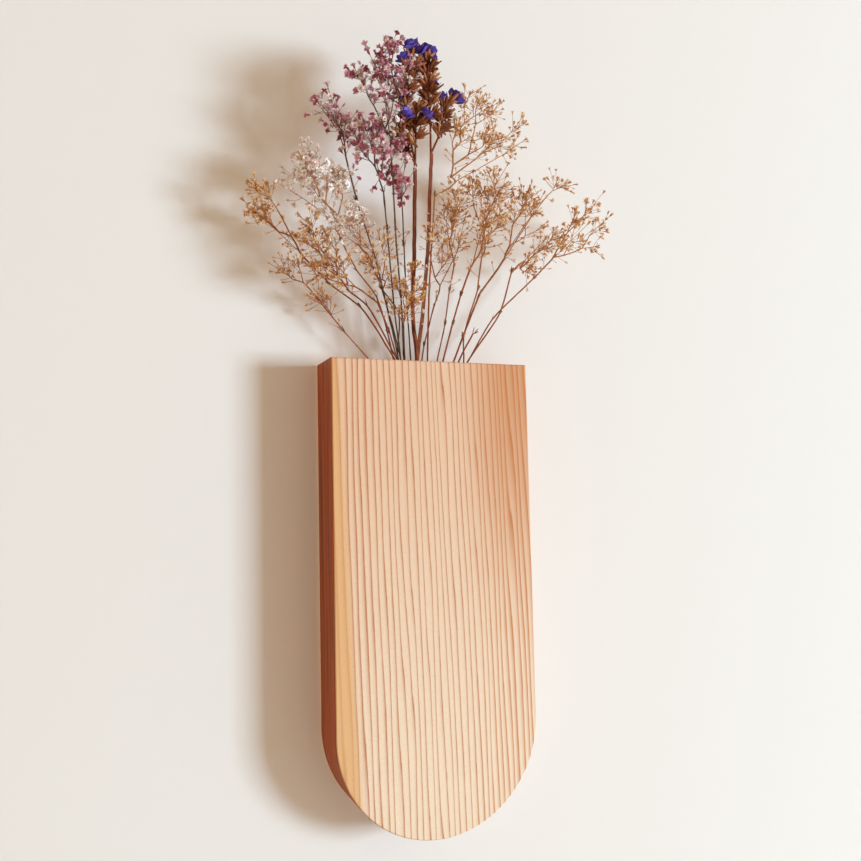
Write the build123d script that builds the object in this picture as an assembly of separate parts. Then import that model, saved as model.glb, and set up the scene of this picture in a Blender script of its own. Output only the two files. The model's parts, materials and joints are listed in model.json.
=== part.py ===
# Wooden wall vase holding a bunch of dried flowers. Lengths are millimetres.
# The origin is the centre of the hanging hole on the wall plane. +Z is up and the front faces -Y.
from build123d import *
from math import cos, pi, sin, sqrt
from random import Random
import os

# Wooden body
vase_width = 113.0
vase_height = 250.0
board_thickness = 15.0
edge_ease = 0.6
slot_width = 66.0
slot_thickness = 13.0
slot_depth = 150.0
hang_drop = 40.0

# Hanging plate, let into the back
plate_length = 45.0
plate_width = 16.0
plate_thickness = 1.5
plate_fit = 0.1
hole_radius = 4.75
neck_radius = 2.3
neck_rise = 9.0
pocket_depth = 4.0
pocket_margin = 1.6
screw_pitch = 34.0
screw_head_radius = 2.9
screw_shank_radius = 1.4
screw_length = 6.8
screw_point = 2.0
screw_fit = 0.04
recess_length = 2.6
recess_width = 0.6
recess_depth = 0.8

# Dried bunch
bunch_span = 100.0
foot_gap = 0.15
joint_gap = 0.02
side_root_shares = (0.45, 0.35, 0.3, 0.25)
floret_depth_share = 0.8
floret_dome_share = 0.6
collar_length = 1.2
bud_room = 2.5
plant_gap = 0.03
stem_tries = 40000
stray_limit_share = 0.06
lean_limit_share = 0.5
spray_tries = 80
wall_gap = 1.0
twig_radius = 0.26
fork_rise_share = 0.8
floret_spacing_share = 1.5
calyx_length = 6.0
calyx_mouth_radius = 1.5
calyx_root_radius = 0.25
spike_radius = 0.55
petal_radius = 3.0
petal_root_radius = 0.8
petal_length = 3.2
petal_seat_gap = 0.1
spike_flower_share = 0.75
overrun = 1.0

top_z = hang_drop
bottom_z = hang_drop - vase_height
middle_y = -board_thickness
slot_bottom_z = top_z - slot_depth
slot_half = slot_width / 2

# Each stem: its radius as a share of the bunch span, how deep it stands as a share of the slot's depth,
# then its way up from the mouth. A place is across, forward of the slot's middle plane, and up from the
# top edge, in shares of the bunch span.
stem_share = {
    "statice_tall": (0.0140, 0.98, ((-0.02, 0.03, 0.03), (-0.02, 0.05, 0.26), (0.0, 0.09, 0.57), (0.0, 0.19, 1.14))),
    "statice_short": (0.0140, 0.98, ((-0.04, -0.01, 0.03), (-0.04, 0.0, 0.27), (-0.05, 0.03, 0.55), (-0.08, 0.13, 1.09))),
    "right_h": (0.0095, 0.76, ((0.18, 0.0, 0.03), (0.24, 0.02, 0.17), (0.33, 0.06, 0.41))),
    "right_g": (0.0090, 0.93, ((0.11, 0.03, 0.03), (0.15, 0.07, 0.21), (0.18, 0.13, 0.37))),
    "left_b": (0.0085, 0.58, ((-0.19, -0.02, 0.03), (-0.35, -0.01, 0.31), (-0.52, 0.01, 0.41))),
    "left_a": (0.0060, 0.46, ((-0.30, -0.02, 0.03), (-0.44, -0.03, 0.17))),
    "left_c": (0.0080, 0.47, ((-0.17, 0.0, 0.03), (-0.35, 0.02, 0.30), (-0.44, 0.05, 0.38))),
    "right_k": (0.0080, 0.38, ((0.24, -0.02, 0.03), (0.49, 0.0, 0.30), (0.70, 0.05, 0.54))),
    "right_l": (0.0080, 0.34, ((0.22, 0.03, 0.03), (0.46, 0.07, 0.27), (0.54, 0.13, 0.49))),
    "upper_u": (0.0085, 0.98, ((0.05, -0.04, 0.03), (0.06, -0.03, 0.44), (0.09, 0.01, 0.97))),
    "dark_p": (0.0080, 0.62, ((-0.09, 0.03, 0.03), (-0.16, 0.09, 0.34), (-0.21, 0.17, 0.61), (-0.26, 0.27, 0.99))),
    "dark_o": (0.0070, 0.52, ((-0.10, 0.0, 0.03), (-0.18, 0.03, 0.30), (-0.26, 0.13, 0.69), (-0.28, 0.19, 0.88))),
    "dark_n": (0.0075, 0.70, ((-0.11, -0.03, 0.03), (-0.19, -0.02, 0.34), (-0.29, 0.05, 0.58), (-0.43, 0.13, 0.81))),
    "dark_m": (0.0065, 0.84, ((-0.06, -0.04, 0.03), (-0.08, -0.03, 0.37), (-0.10, 0.01, 0.67))),
    "left_d": (0.0070, 0.58, ((-0.15, 0.02, 0.03), (-0.21, 0.03, 0.19), (-0.32, 0.07, 0.32))),
    "left_e": (0.0075, 0.50, ((-0.13, -0.02, 0.03), (-0.24, -0.03, 0.36), (-0.38, -0.01, 0.52))),
    "middle_f": (0.0065, 0.74, ((-0.14, 0.04, 0.03), (-0.20, 0.07, 0.27), (-0.27, 0.11, 0.38))),
    "middle_g": (0.0065, 0.56, ((-0.12, 0.05, 0.03), (-0.25, 0.11, 0.42), (-0.34, 0.17, 0.55))),
    "middle_w": (0.0065, 0.44, ((-0.11, 0.05, 0.03), (-0.14, 0.09, 0.20))),
    "right_e": (0.0070, 0.80, ((0.01, -0.03, 0.03), (0.02, -0.03, 0.12), (0.08, -0.01, 0.34))),
    "right_f": (0.0070, 0.76, ((0.10, -0.01, 0.03), (0.13, 0.01, 0.22), (0.15, 0.05, 0.41))),
    "right_i": (0.0075, 0.88, ((0.24, -0.03, 0.03), (0.27, -0.04, 0.18), (0.37, -0.05, 0.46))),
    "cut_stub": (0.0085, 0.66, ((0.23, 0.03, 0.03), (0.29, 0.07, 0.19))),
}

# Each spray: the stem it grows from, floret radius, then its tufts.
# A tuft is a centre, its half width and half height as shares of the bunch span, and a floret count.
spray_share = {
    "dark_p": (0.021, ((-0.31, 0.31, 1.51, 0.15, 0.18, 23),)),
    "left_a": (0.013, ((-0.59, -0.01, 0.34, 0.09, 0.05, 4), (-0.74, -0.01, 0.51, 0.05, 0.08, 5))),
    "left_b": (0.016, ((-0.93, 0.07, 0.80, 0.09, 0.12, 13),)),
    "left_c": (0.015, ((-0.64, 0.13, 0.61, 0.12, 0.13, 14),)),
    "left_d": (0.014, ((-0.55, 0.19, 0.43, 0.13, 0.08, 9),)),
    "left_e": (0.019, ((-0.66, 0.15, 0.94, 0.19, 0.11, 18),)),
    "middle_f": (0.015, ((-0.32, 0.21, 0.52, 0.11, 0.13, 10),)),
    "middle_g": (0.017, ((-0.45, 0.25, 0.68, 0.10, 0.09, 10),)),
    "middle_w": (0.015, ((-0.18, 0.19, 0.38, 0.10, 0.15, 12),)),
    "dark_n": (0.018, ((-0.55, 0.21, 1.31, 0.11, 0.13, 10),)),
    "dark_o": (0.020, ((-0.34, 0.27, 1.16, 0.16, 0.14, 18),)),
    "dark_m": (0.019, ((-0.20, 0.25, 0.98, 0.06, 0.09, 7),)),
    "right_e": (0.014, ((0.05, 0.21, 0.65, 0.13, 0.09, 10),)),
    "right_f": (0.014, ((0.15, 0.24, 0.83, 0.13, 0.11, 13),)),
    "right_g": (0.014, ((0.34, 0.22, 0.80, 0.14, 0.12, 13),)),
    "right_i": (0.014, ((0.44, 0.08, 1.06, 0.18, 0.13, 16),)),
    "right_h": (0.014, ((0.66, 0.14, 0.90, 0.14, 0.14, 12), (0.85, 0.09, 1.11, 0.03, 0.03, 3))),
    "upper_u": (0.014, ((0.22, 0.13, 1.33, 0.08, 0.06, 6), (0.33, 0.15, 1.49, 0.16, 0.05, 9),
                        (0.48, 0.15, 1.31, 0.15, 0.14, 13))),
    "right_k": (0.016, ((1.05, 0.09, 0.86, 0.17, 0.15, 12),)),
    "right_l": (0.014, ((0.69, 0.07, 0.58, 0.05, 0.04, 3), (0.78, 0.14, 0.74, 0.10, 0.12, 8))),
}

# Each flower spike of the statice: its route from the stem's top, then its calyx and petal counts.
spike_share = {
    "statice_tall": (
        (((-0.02, 0.24, 1.34), (-0.04, 0.28, 1.50), (-0.06, 0.29, 1.64)), 13, 3),
        (((0.05, 0.21, 1.26), (0.08, 0.23, 1.41)), 6, 2),
    ),
    "statice_short": (
        (((-0.14, 0.22, 1.24), (-0.17, 0.27, 1.40), (-0.14, 0.30, 1.58)), 13, 4),
        (((-0.10, 0.22, 1.20), (-0.11, 0.26, 1.32)), 6, 1),
        (((-0.14, 0.20, 1.14), (-0.20, 0.26, 1.22)), 4, 1),
    ),
}


def add(a, b):
    return (a[0] + b[0], a[1] + b[1], a[2] + b[2])


def sub(a, b):
    return (a[0] - b[0], a[1] - b[1], a[2] - b[2])


def scaled(a, k):
    return (a[0] * k, a[1] * k, a[2] * k)


def dot(a, b):
    return a[0] * b[0] + a[1] * b[1] + a[2] * b[2]


def cross(a, b):
    return (a[1] * b[2] - a[2] * b[1], a[2] * b[0] - a[0] * b[2], a[0] * b[1] - a[1] * b[0])


def length_of(a):
    return sqrt(dot(a, a))


def unit(a):
    return scaled(a, 1 / length_of(a))


def frame_round(axis):
    """Two unit directions square to the axis and to each other."""
    side = cross(axis, (0, 1, 0))
    if length_of(side) < 1 / 10:
        side = cross(axis, (1, 0, 0))
    side = unit(side)
    return side, cross(axis, side)


def segment_gap(p, q, r, s):
    """Least distance between the straight pieces p-q and r-s."""
    d1 = sub(q, p)
    d2 = sub(s, r)
    w = sub(p, r)
    a = dot(d1, d1)
    e = dot(d2, d2)
    b = dot(d1, d2)
    c = dot(d1, w)
    f = dot(d2, w)
    den = a * e - b * b
    t = 0.0
    if a > 0 and den > 0:
        t = min(1.0, max(0.0, (b * f - c * e) / den))
    u = (b * t + f) / e if e > 0 else 0.0
    if u < 0 or u > 1:
        u = min(1.0, max(0.0, u))
        t = min(1.0, max(0.0, (b * u - c) / a)) if a > 0 else 0.0
    elif e == 0 and a > 0:
        t = min(1.0, max(0.0, -c / a))
    return length_of(sub(add(p, scaled(d1, t)), add(r, scaled(d2, u))))


class Bunch:
    """Every straight round piece placed so far, each with the plant that owns it."""

    def __init__(self):
        self.rods = []

    def put(self, owner, p, q, radius):
        low = tuple(min(p[i], q[i]) - radius for i in range(3))
        high = tuple(max(p[i], q[i]) + radius for i in range(3))
        self.rods.append((owner, p, q, radius, low, high))

    def free(self, owner, p, q, radius, beside=None):
        """True when a rod from p to q stays clear of every other plant's rods, but for one it stands on."""
        lowx = min(p[0], q[0]) - radius - plant_gap
        lowy = min(p[1], q[1]) - radius - plant_gap
        lowz = min(p[2], q[2]) - radius - plant_gap
        highx = max(p[0], q[0]) + radius + plant_gap
        highy = max(p[1], q[1]) + radius + plant_gap
        highz = max(p[2], q[2]) + radius + plant_gap
        for other, r, s, other_radius, low, high in self.rods:
            if low[0] > highx or high[0] < lowx or low[2] > highz or high[2] < lowz:
                continue
            if low[1] > highy or high[1] < lowy or other == owner or beside == (r, s):
                continue
            if segment_gap(p, q, r, s) < radius + other_radius + plant_gap:
                return False
        return True


def bunch_point(place):
    """A place in shares of the bunch span, measured from the middle of the slot's mouth."""
    return (place[0] * bunch_span, middle_y - place[1] * bunch_span, top_z + place[2] * bunch_span)


def foot_of(rim, lean, depth_share, radius):
    """Where a straight stem ends in the slot: held off the slot's sides and its round bottom."""
    z = top_z - slot_depth * depth_share + radius
    reach = slot_half - radius - foot_gap
    below_arc = max(0, slot_bottom_z + slot_half - z)
    side = sqrt(max(0, reach * reach - below_arc * below_arc))
    x = rim[0] + lean * (rim[2] - z)
    return (min(side, max(-side, x)), rim[1], z)


def route_stem(bunch, name):
    """A way for a stem that stays clear of every plant placed before it.
    The tries start at the wished way and stray from it little by little."""
    radius_share, depth_share, places = stem_share[name]
    radius = radius_share * bunch_span
    wish = [bunch_point(p) for p in places]
    room = slot_thickness / 2 - radius - foot_gap
    rim_reach = slot_half - radius - foot_gap
    lean = (wish[0][0] - wish[1][0]) / (wish[1][2] - wish[0][2])
    rng = Random(name)
    for attempt in range(stem_tries):
        stray_share = attempt / stem_tries
        play = bunch_span * stray_share * stray_limit_share
        rim_x = min(rim_reach, max(-rim_reach, wish[0][0] + rng.uniform(-1, 1) * play))
        rim = (rim_x, middle_y + rng.uniform(-1, 1) * room, wish[0][2])
        swayed = lean + rng.uniform(-1, 1) * stray_share * lean_limit_share
        end = foot_of(rim, swayed, depth_share, radius)
        foot = (end[0], middle_y + rng.uniform(-1, 1) * room, end[2])
        if not bunch.free(name, foot, rim, radius):
            continue
        path = [foot, rim]
        for p in wish[1:]:
            path.append((p[0] + rng.uniform(-1, 1) * play, p[1] + 2 * rng.uniform(-1, 1) * play,
                         p[2] + rng.uniform(-1, 1) * play))
        bud = add(path[-1], scaled(unit(sub(path[-1], path[-2])), bud_room))
        rods = list(zip(path[1:], path[2:] + [bud]))
        if all(bunch.free(name, p, q, radius) for p, q in rods):
            bunch.put(name, foot, rim, radius)
            for p, q in rods:
                bunch.put(name, p, q, radius)
            return path
    raise ValueError("no clear way for stem " + name)


def scatter(bunch, name, rng):
    """Florets spread through the tufts of one spray, clear of one another and of other plants."""
    floret_share, tufts = spray_share[name]
    radius = floret_share * bunch_span
    tips = []
    for x, forward, z, half_width, half_height, count in tufts:
        centre = bunch_point((x, forward, z))
        half_depth_share = (half_width + half_height) / 2
        made = 0
        for _ in range(count * 60):
            if made == count:
                break
            a, b, c = (rng.uniform(-1, 1) for _ in range(3))
            if a * a + b * b + c * c > 1:
                continue
            tip = add(centre, scaled((a * half_width, b * half_depth_share, c * half_height), bunch_span))
            if tip[1] > -wall_gap - radius:
                continue
            spaced = all(length_of(sub(tip, t)) > radius * floret_spacing_share for t in tips)
            if spaced and bunch.free(name, tip, tip, radius):
                tips.append(tip)
                made += 1
    return tips


def grow(tips, base, trunk_radius):
    """Join the nearest florets in pairs, again and again, down to the base.
    Gives twigs as (start, end, start radius, end radius, is tip)."""
    live = [(t, 1, None) for t in tips]
    twigs = []
    while len(live) > 1:
        best = None
        for i in range(len(live)):
            for j in range(i):
                p = live[i][0]
                q = live[j][0]
                near = (p[0] - q[0]) ** 2 + (p[1] - q[1]) ** 2 + (p[2] - q[2]) ** 2
                if best is None or near < best[0]:
                    best = (near, i, j)
        i, j = best[1], best[2]
        first = live.pop(i)
        second = live.pop(j)
        middle = scaled(add(first[0], second[0]), 1 / 2)
        down = sub(base, middle)
        spread = length_of(sub(first[0], second[0]))
        rise = min(spread * fork_rise_share + 2 * twig_radius, length_of(down) / 2)
        fork = add(middle, scaled(unit(down), rise))
        count = first[1] + second[1]
        size = min(twig_radius * sqrt(count), trunk_radius)
        for child in (first, second):
            end_size = min(twig_radius * sqrt(child[1]), trunk_radius)
            twigs.append((fork, child[0], min(size, 1.3 * end_size), end_size, child[2] is None))
        live.append((fork, count, True))
    end = live[0]
    end_size = min(twig_radius * sqrt(end[1]), trunk_radius)
    twigs.append((base, end[0], trunk_radius, end_size, end[2] is None))
    return twigs


def tips_above(twigs, place):
    """Every floret that grows from a place on the tree, or the place itself if it is a floret."""
    found = set()
    waiting = [place]
    while waiting:
        at = waiting.pop()
        onward = [t[1] for t in twigs if t[0] == at]
        waiting += onward
        if not onward:
            found.add(at)
    return found


def grow_spray(bunch, name, path):
    """A spray whose twigs and florets all stay clear of the other plants.
    Florets whose twigs meet a neighbour are left out when no scatter is clear as a whole."""
    radius = stem_share[name][0] * bunch_span
    floret_radius = spray_share[name][0] * bunch_span
    base = add(path[-1], scaled(unit(sub(path[-1], path[-2])), joint_gap))
    best = []
    for attempt in range(spray_tries):
        tips = scatter(bunch, name, Random(name + str(attempt)))
        wanted = len(tips)
        while len(tips) > max(len(best), 1):
            twigs = grow(tips, base, radius)
            bad = [t for t in twigs if not bunch.free(name, t[0], t[1], t[2])]
            if not bad:
                best = [t for t in tips]
                break
            lost = tips_above(twigs, min(bad, key=lambda t: t[3])[1])
            tips = [t for t in tips if t not in lost]
        if len(best) == wanted:
            break
    if len(best) < 2:
        raise ValueError("spray " + name + " meets its neighbours")
    twigs = grow(best, base, radius)
    for start, end, size, _, is_tip in twigs:
        bunch.put(name, start, end, size)
        if is_tip:
            bunch.put(name, end, end, floret_radius)
    return twigs


def spike_parts(bunch, name, top, index):
    """One flower spike of the statice: its route and its calyces in two rows."""
    places, calyx_count, _ = spike_share[name][index]
    rng = Random(name + str(index))
    route = [top] + [bunch_point(p) for p in places]
    spans = [length_of(sub(b, a)) for a, b in zip(route, route[1:])]
    total = sum(spans)
    calyces = []
    for k in range(calyx_count):
        along = total * (1 - (calyx_count - 1 - k) / calyx_count * spike_flower_share)
        i = 0
        while along > spans[i] and i < len(spans) - 1:
            along -= spans[i]
            i += 1
        way = unit(sub(route[i + 1], route[i]))
        root = add(route[i], scaled(way, min(along, spans[i])))
        side, front = frame_round(way)
        turn = (k % 2) * pi + rng.uniform(-0.9, 0.9)
        out = add(scaled(side, cos(turn)), scaled(front, sin(turn)))
        aim = unit(add(scaled(way, rng.uniform(0.9, 1.3)), out))
        calyces.append((root, add(root, scaled(aim, calyx_length))))
    for p, q in zip(route, route[1:]):
        bunch.put(name, p, q, spike_radius)
    for p, q in calyces:
        bunch.put(name, p, q, calyx_mouth_radius)
    return route, calyces


def spike_petals(bunch, name, index, calyces):
    """Petal cups on the calyces nearest the spike's tip, each as wide as its neighbours let it be."""
    petals = []
    for p, q in reversed(calyces):
        aim = unit(sub(q, p))
        start = add(q, scaled(aim, petal_seat_gap))
        middle = add(q, scaled(aim, petal_seat_gap + petal_length / 2))
        end = add(start, scaled(aim, petal_length))
        for size_share in (1, 0.85, 0.7, 0.55):
            radius = petal_radius * size_share
            if bunch.free(name + "_petals", middle, end, radius, (p, q)):
                petals.append((start, end, radius))
                bunch.put(name + "_petals" + str(len(petals)), middle, end, radius)
                break
        if len(petals) == spike_share[name][index][2]:
            break
    return petals


def facet_solid(points, faces):
    """A solid with flat faces, each given by the numbers of its corners."""
    sides = [Face(Wire.make_polygon([points[i] for i in corners])) for corners in faces]
    made = Solid(Shell(sides))
    if made.volume < 0:
        made = Solid(Shell([-side for side in sides]))
    return made


def ring(centre, side, front, radii, turn=0.0):
    count = len(radii)
    corners = []
    for i, radius in enumerate(radii):
        angle = turn + 2 * pi * i / count
        corners.append(add(centre, add(scaled(side, radius * cos(angle)), scaled(front, radius * sin(angle)))))
    return corners


def joined_rings(rings):
    """Close a run of rings of equal counts with sides and two ends."""
    count = len(rings[0])
    points = [p for r in rings for p in r]
    faces = [tuple(reversed(range(count))), tuple(len(points) - count + i for i in range(count))]
    for k in range(len(rings) - 1):
        for i in range(count):
            j = (i + 1) % count
            low = k * count
            high = low + count
            faces.append((low + i, low + j, high + j, high + i))
    return facet_solid(points, faces)


def stem_solid(path, radii):
    """A straight-sided stem along a bent path, mitred at each bend."""
    way = unit(sub(path[1], path[0]))
    side, front = frame_round(way)
    rings = [ring(path[0], side, front, radii)]
    for i in range(1, len(path)):
        along = unit(sub(path[i], path[i - 1]))
        square = along
        if i < len(path) - 1:
            square = unit(add(along, unit(sub(path[i + 1], path[i]))))
        corners = []
        for p in rings[-1]:
            step = dot(sub(path[i], p), square) / dot(along, square)
            corners.append(add(p, scaled(along, step)))
        rings.append(corners)
    return joined_rings(rings)


def taper(start, end, start_radius, end_radius, count):
    side, front = frame_round(unit(sub(end, start)))
    first = ring(start, side, front, [start_radius] * count)
    last = ring(end, side, front, [end_radius] * count)
    return joined_rings([first, last])


def runs_of(twigs, base, root_share):
    """Twigs strung into runs. Each run keeps to the thicker twig at every fork and ends in a floret."""
    onward = {}
    for twig in twigs:
        onward.setdefault(twig[0], []).append(twig)
    runs = []
    waiting = [([], onward[base][0])]
    while waiting:
        run, twig = waiting.pop()
        if not run:
            run = [(twig[0], twig[2])]
        run.append((twig[1], twig[3]))
        if twig[4]:
            runs.append(run)
            continue
        first, second = sorted(onward[twig[1]], key=lambda t: -t[3])
        waiting.append((run, first))
        waiting.append(([(second[0], twig[3] * root_share)], second))
    return runs


def run_solid(run, floret_radius, root_axis):
    """A three-sided run of twigs that opens into a floret with a low dome."""
    tip, tip_radius = run[-1]
    way = unit(sub(tip, run[-2][0]))
    last_length = length_of(sub(tip, run[-2][0]))
    low = sub(tip, scaled(way, min(floret_radius * floret_depth_share, last_length / 2)))
    stops = run[:-1] + [(low, tip_radius)]
    points = []
    side = None
    for i, (place, radius) in enumerate(stops):
        after = unit(sub(stops[i + 1][0], place)) if i < len(stops) - 1 else way
        axis = unit(add(unit(sub(place, stops[i - 1][0])), after)) if i else root_axis or after
        if side is None:
            side = frame_round(axis)[0]
        side = unit(sub(side, scaled(axis, dot(side, axis))))
        points += ring(place, side, cross(axis, side), [radius] * 3)
    side = unit(sub(side, scaled(way, dot(side, way))))
    points += ring(tip, side, cross(way, side), [floret_radius] * 3, pi / 3)
    points.append(add(tip, scaled(way, floret_radius * floret_dome_share)))
    crown = len(points) - 4
    faces = [(2, 1, 0)]
    for k in range(0, crown - 3, 3):
        for i in range(3):
            j = (i + 1) % 3
            faces.append((k + i, k + j, k + 3 + j))
            faces.append((k + i, k + 3 + j, k + 3 + i))
    for i in range(3):
        j = (i + 1) % 3
        faces.append((crown - 3 + i, crown - 3 + j, crown + i))
        faces.append((crown - 3 + j, crown + j, crown + i))
        faces.append((crown + i, crown + j, crown + 3))
    return facet_solid(points, faces)


def spray_solid(twigs, path, name):
    """Twigs and florets of one spray as one solid that stands on its stem's end.
    A narrower root for the side twigs is taken where the first one leaves a flaw."""
    floret_radius = spray_share[name][0] * bunch_span
    way = unit(sub(path[-1], path[-2]))
    base = add(path[-1], scaled(way, joint_gap))
    for root_share in side_root_shares:
        pieces = []
        for run in runs_of(twigs, base, root_share):
            pieces.append(run_solid(run, floret_radius, way if run[0][0] == base else None))
        made = pieces[0].fuse(*pieces[1:])
        if made.is_valid and made.volume > 0:
            return made
    raise ValueError("spray " + name + " doesn't close")


def spike_solid(top, spikes, radius, way):
    pieces = [taper(add(top, scaled(way, joint_gap)), add(top, scaled(way, collar_length)), radius, radius, 6)]
    for route, calyces in spikes:
        route = [add(top, scaled(way, collar_length / 2))] + route[1:]
        for p, q in zip(route, route[1:]):
            reach = scaled(unit(sub(q, p)), spike_radius / 2)
            pieces.append(taper(p, add(q, reach), spike_radius, spike_radius, 3))
        for p, q in calyces:
            pieces.append(taper(p, q, calyx_root_radius, calyx_mouth_radius, 4))
    return pieces[0].fuse(*pieces[1:])


def front_plane(y):
    """Sketch plane at depth y, seen from the front: right is +X and up is +Z."""
    return Plane(origin=(0, y, 0), x_dir=(1, 0, 0), z_dir=(0, -1, 0))


def rounded_slab(half_width, top, bottom, y, thickness):
    """A plate with straight sides and a half-round lower end, from depth y towards the front."""
    arc_z = bottom + half_width
    face = Pos(0, (top + arc_z) / 2) * Rectangle(2 * half_width, top - arc_z) + Pos(0, arc_z) * Circle(half_width)
    return extrude(front_plane(y) * face, thickness)


def slot_room():
    y = middle_y + slot_thickness / 2
    return rounded_slab(slot_half, top_z + overrun, slot_bottom_z, y, slot_thickness)


def front_board():
    board = rounded_slab(vase_width / 2, top_z, bottom_z, middle_y, board_thickness)
    face_edges = board.edges().filter_by_position(Axis.Y, -2 * board_thickness, -2 * board_thickness)
    return chamfer(face_edges, edge_ease) - slot_room()


def plate_outline(grow_by):
    half = plate_width / 2 + grow_by
    straight = plate_length - plate_width
    return Rectangle(2 * half, straight) + Pos(0, straight / 2) * Circle(half) + Pos(0, -straight / 2) * Circle(half)


def keyhole(margin):
    """Round hole with a narrower neck above it."""
    neck = neck_radius + margin
    return Circle(hole_radius + margin) + Pos(0, neck_rise / 2) * Rectangle(2 * neck, neck_rise) \
        + Pos(0, neck_rise) * Circle(neck)


def screw_places():
    return [-screw_pitch / 2, screw_pitch / 2]


def screw_form(fit):
    """Countersunk wood screw standing along -Y from the wall plane, or its hole when fit is over zero."""
    head_depth = screw_head_radius - screw_shank_radius
    shank_end = screw_length - screw_point
    with BuildPart() as made:
        with BuildSketch(Plane.XY):
            with BuildLine():
                Polyline((0, 0), (screw_head_radius + fit, 0), (screw_shank_radius + fit, -head_depth),
                         (screw_shank_radius + fit, -shank_end), (0, -screw_length - fit), close=True)
            make_face()
        revolve(axis=Axis.Y)
    return made.part


def hanger_plate():
    plate = extrude(front_plane(0) * (plate_outline(0) - keyhole(0)), plate_thickness)
    for z in screw_places():
        plate -= Pos(0, 0, z) * screw_form(screw_fit)
    return plate


def hanger_screws():
    screws = []
    for z in screw_places():
        screw = Pos(0, 0, z) * screw_form(0)
        for turn in (0, 90):
            bar = Box(recess_length, 2 * recess_depth, recess_width)
            screw -= Pos(0, 0, z) * Rot(0, turn, 0) * bar
        screws.append(screw.solid())
    return Compound(screws)


def back_board():
    board = rounded_slab(vase_width / 2, top_z, bottom_z, 0, board_thickness)
    wall_edges = board.edges().filter_by_position(Axis.Y, 0, 0)
    board = chamfer(wall_edges, edge_ease) - slot_room()
    board -= extrude(front_plane(overrun) * plate_outline(plate_fit), overrun + plate_thickness)
    board -= extrude(front_plane(0) * keyhole(pocket_margin), plate_thickness + pocket_depth)
    for z in screw_places():
        pilot = Pos(0, z) * Circle(screw_shank_radius + screw_fit)
        board -= extrude(front_plane(0) * pilot, screw_length + screw_fit)
    return board


def save(name, shape):
    os.makedirs("parts", exist_ok=True)
    export_step(shape, "parts/" + name + ".step")


def main():
    save("front_board", front_board())
    save("back_board", back_board())
    save("hanger_plate", hanger_plate())
    save("hanger_screws", hanger_screws())
    bunch = Bunch()
    paths = {name: route_stem(bunch, name) for name in stem_share}
    spikes = {}
    for name in spike_share:
        top = paths[name][-1]
        spikes[name] = [spike_parts(bunch, name, top, i) for i in range(len(spike_share[name]))]
    petals = {}
    for name in spike_share:
        petals[name] = [cup for i, made in enumerate(spikes[name]) for cup in spike_petals(bunch, name, i, made[1])]
    sprays = {name: grow_spray(bunch, name, paths[name]) for name in spray_share}
    for name, path in paths.items():
        radius = stem_share[name][0] * bunch_span
        radii = [radius] * 6
        if name in spike_share:
            radii = [radius, radius * 0.7] * 3
        save("stem_" + name, stem_solid(path, radii))
    for name, twigs in sprays.items():
        save("spray_" + name, spray_solid(twigs, paths[name], name))
    for name, made in spikes.items():
        path = paths[name]
        way = unit(sub(path[-1], path[-2]))
        radius = stem_share[name][0] * bunch_span
        save("spikes_" + name, spike_solid(path[-1], made, radius * 0.7, way))
        cups = [taper(p, q, petal_root_radius, radius, 6) for p, q, radius in petals[name]]
        save("petals_" + name, Compound(cups))


main()
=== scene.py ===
# Looks of a wooden wall vase with a bunch of dried flowers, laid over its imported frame.
import json
from math import cos, pi, radians, sin, sqrt
from random import Random

import bpy
from mathutils import Matrix, Vector

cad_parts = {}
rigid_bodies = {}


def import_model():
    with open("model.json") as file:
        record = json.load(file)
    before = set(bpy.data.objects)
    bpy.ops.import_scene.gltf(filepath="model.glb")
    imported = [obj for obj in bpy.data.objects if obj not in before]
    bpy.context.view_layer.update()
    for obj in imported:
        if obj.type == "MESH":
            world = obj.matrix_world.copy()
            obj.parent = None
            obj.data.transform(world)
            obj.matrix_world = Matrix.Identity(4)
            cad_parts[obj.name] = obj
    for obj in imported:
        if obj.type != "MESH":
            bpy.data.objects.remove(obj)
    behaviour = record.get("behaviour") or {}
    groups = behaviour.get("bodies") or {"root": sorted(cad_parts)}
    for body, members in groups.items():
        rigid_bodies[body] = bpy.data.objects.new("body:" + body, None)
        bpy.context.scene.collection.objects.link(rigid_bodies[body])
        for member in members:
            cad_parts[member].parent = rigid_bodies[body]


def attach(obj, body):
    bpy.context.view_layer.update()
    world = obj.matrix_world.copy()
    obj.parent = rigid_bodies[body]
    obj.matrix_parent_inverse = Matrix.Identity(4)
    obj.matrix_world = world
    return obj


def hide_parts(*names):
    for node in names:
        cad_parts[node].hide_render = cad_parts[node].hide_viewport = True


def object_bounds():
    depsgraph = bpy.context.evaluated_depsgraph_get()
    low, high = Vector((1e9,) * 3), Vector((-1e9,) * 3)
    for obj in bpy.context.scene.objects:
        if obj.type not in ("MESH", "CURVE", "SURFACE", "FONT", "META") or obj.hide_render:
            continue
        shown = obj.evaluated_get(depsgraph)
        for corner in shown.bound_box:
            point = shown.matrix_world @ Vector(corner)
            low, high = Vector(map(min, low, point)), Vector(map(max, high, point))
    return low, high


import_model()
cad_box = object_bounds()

bl_info = {
    "name": "Wall vase with dried flowers",
    "version": (1, 0, 0),
    "blender": (4, 5, 0),
    "location": "3D View > Sidebar > Wall vase",
    "description": "Finishes the wooden wall vase and grows its dried bunch",
    "category": "Object",
}

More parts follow.
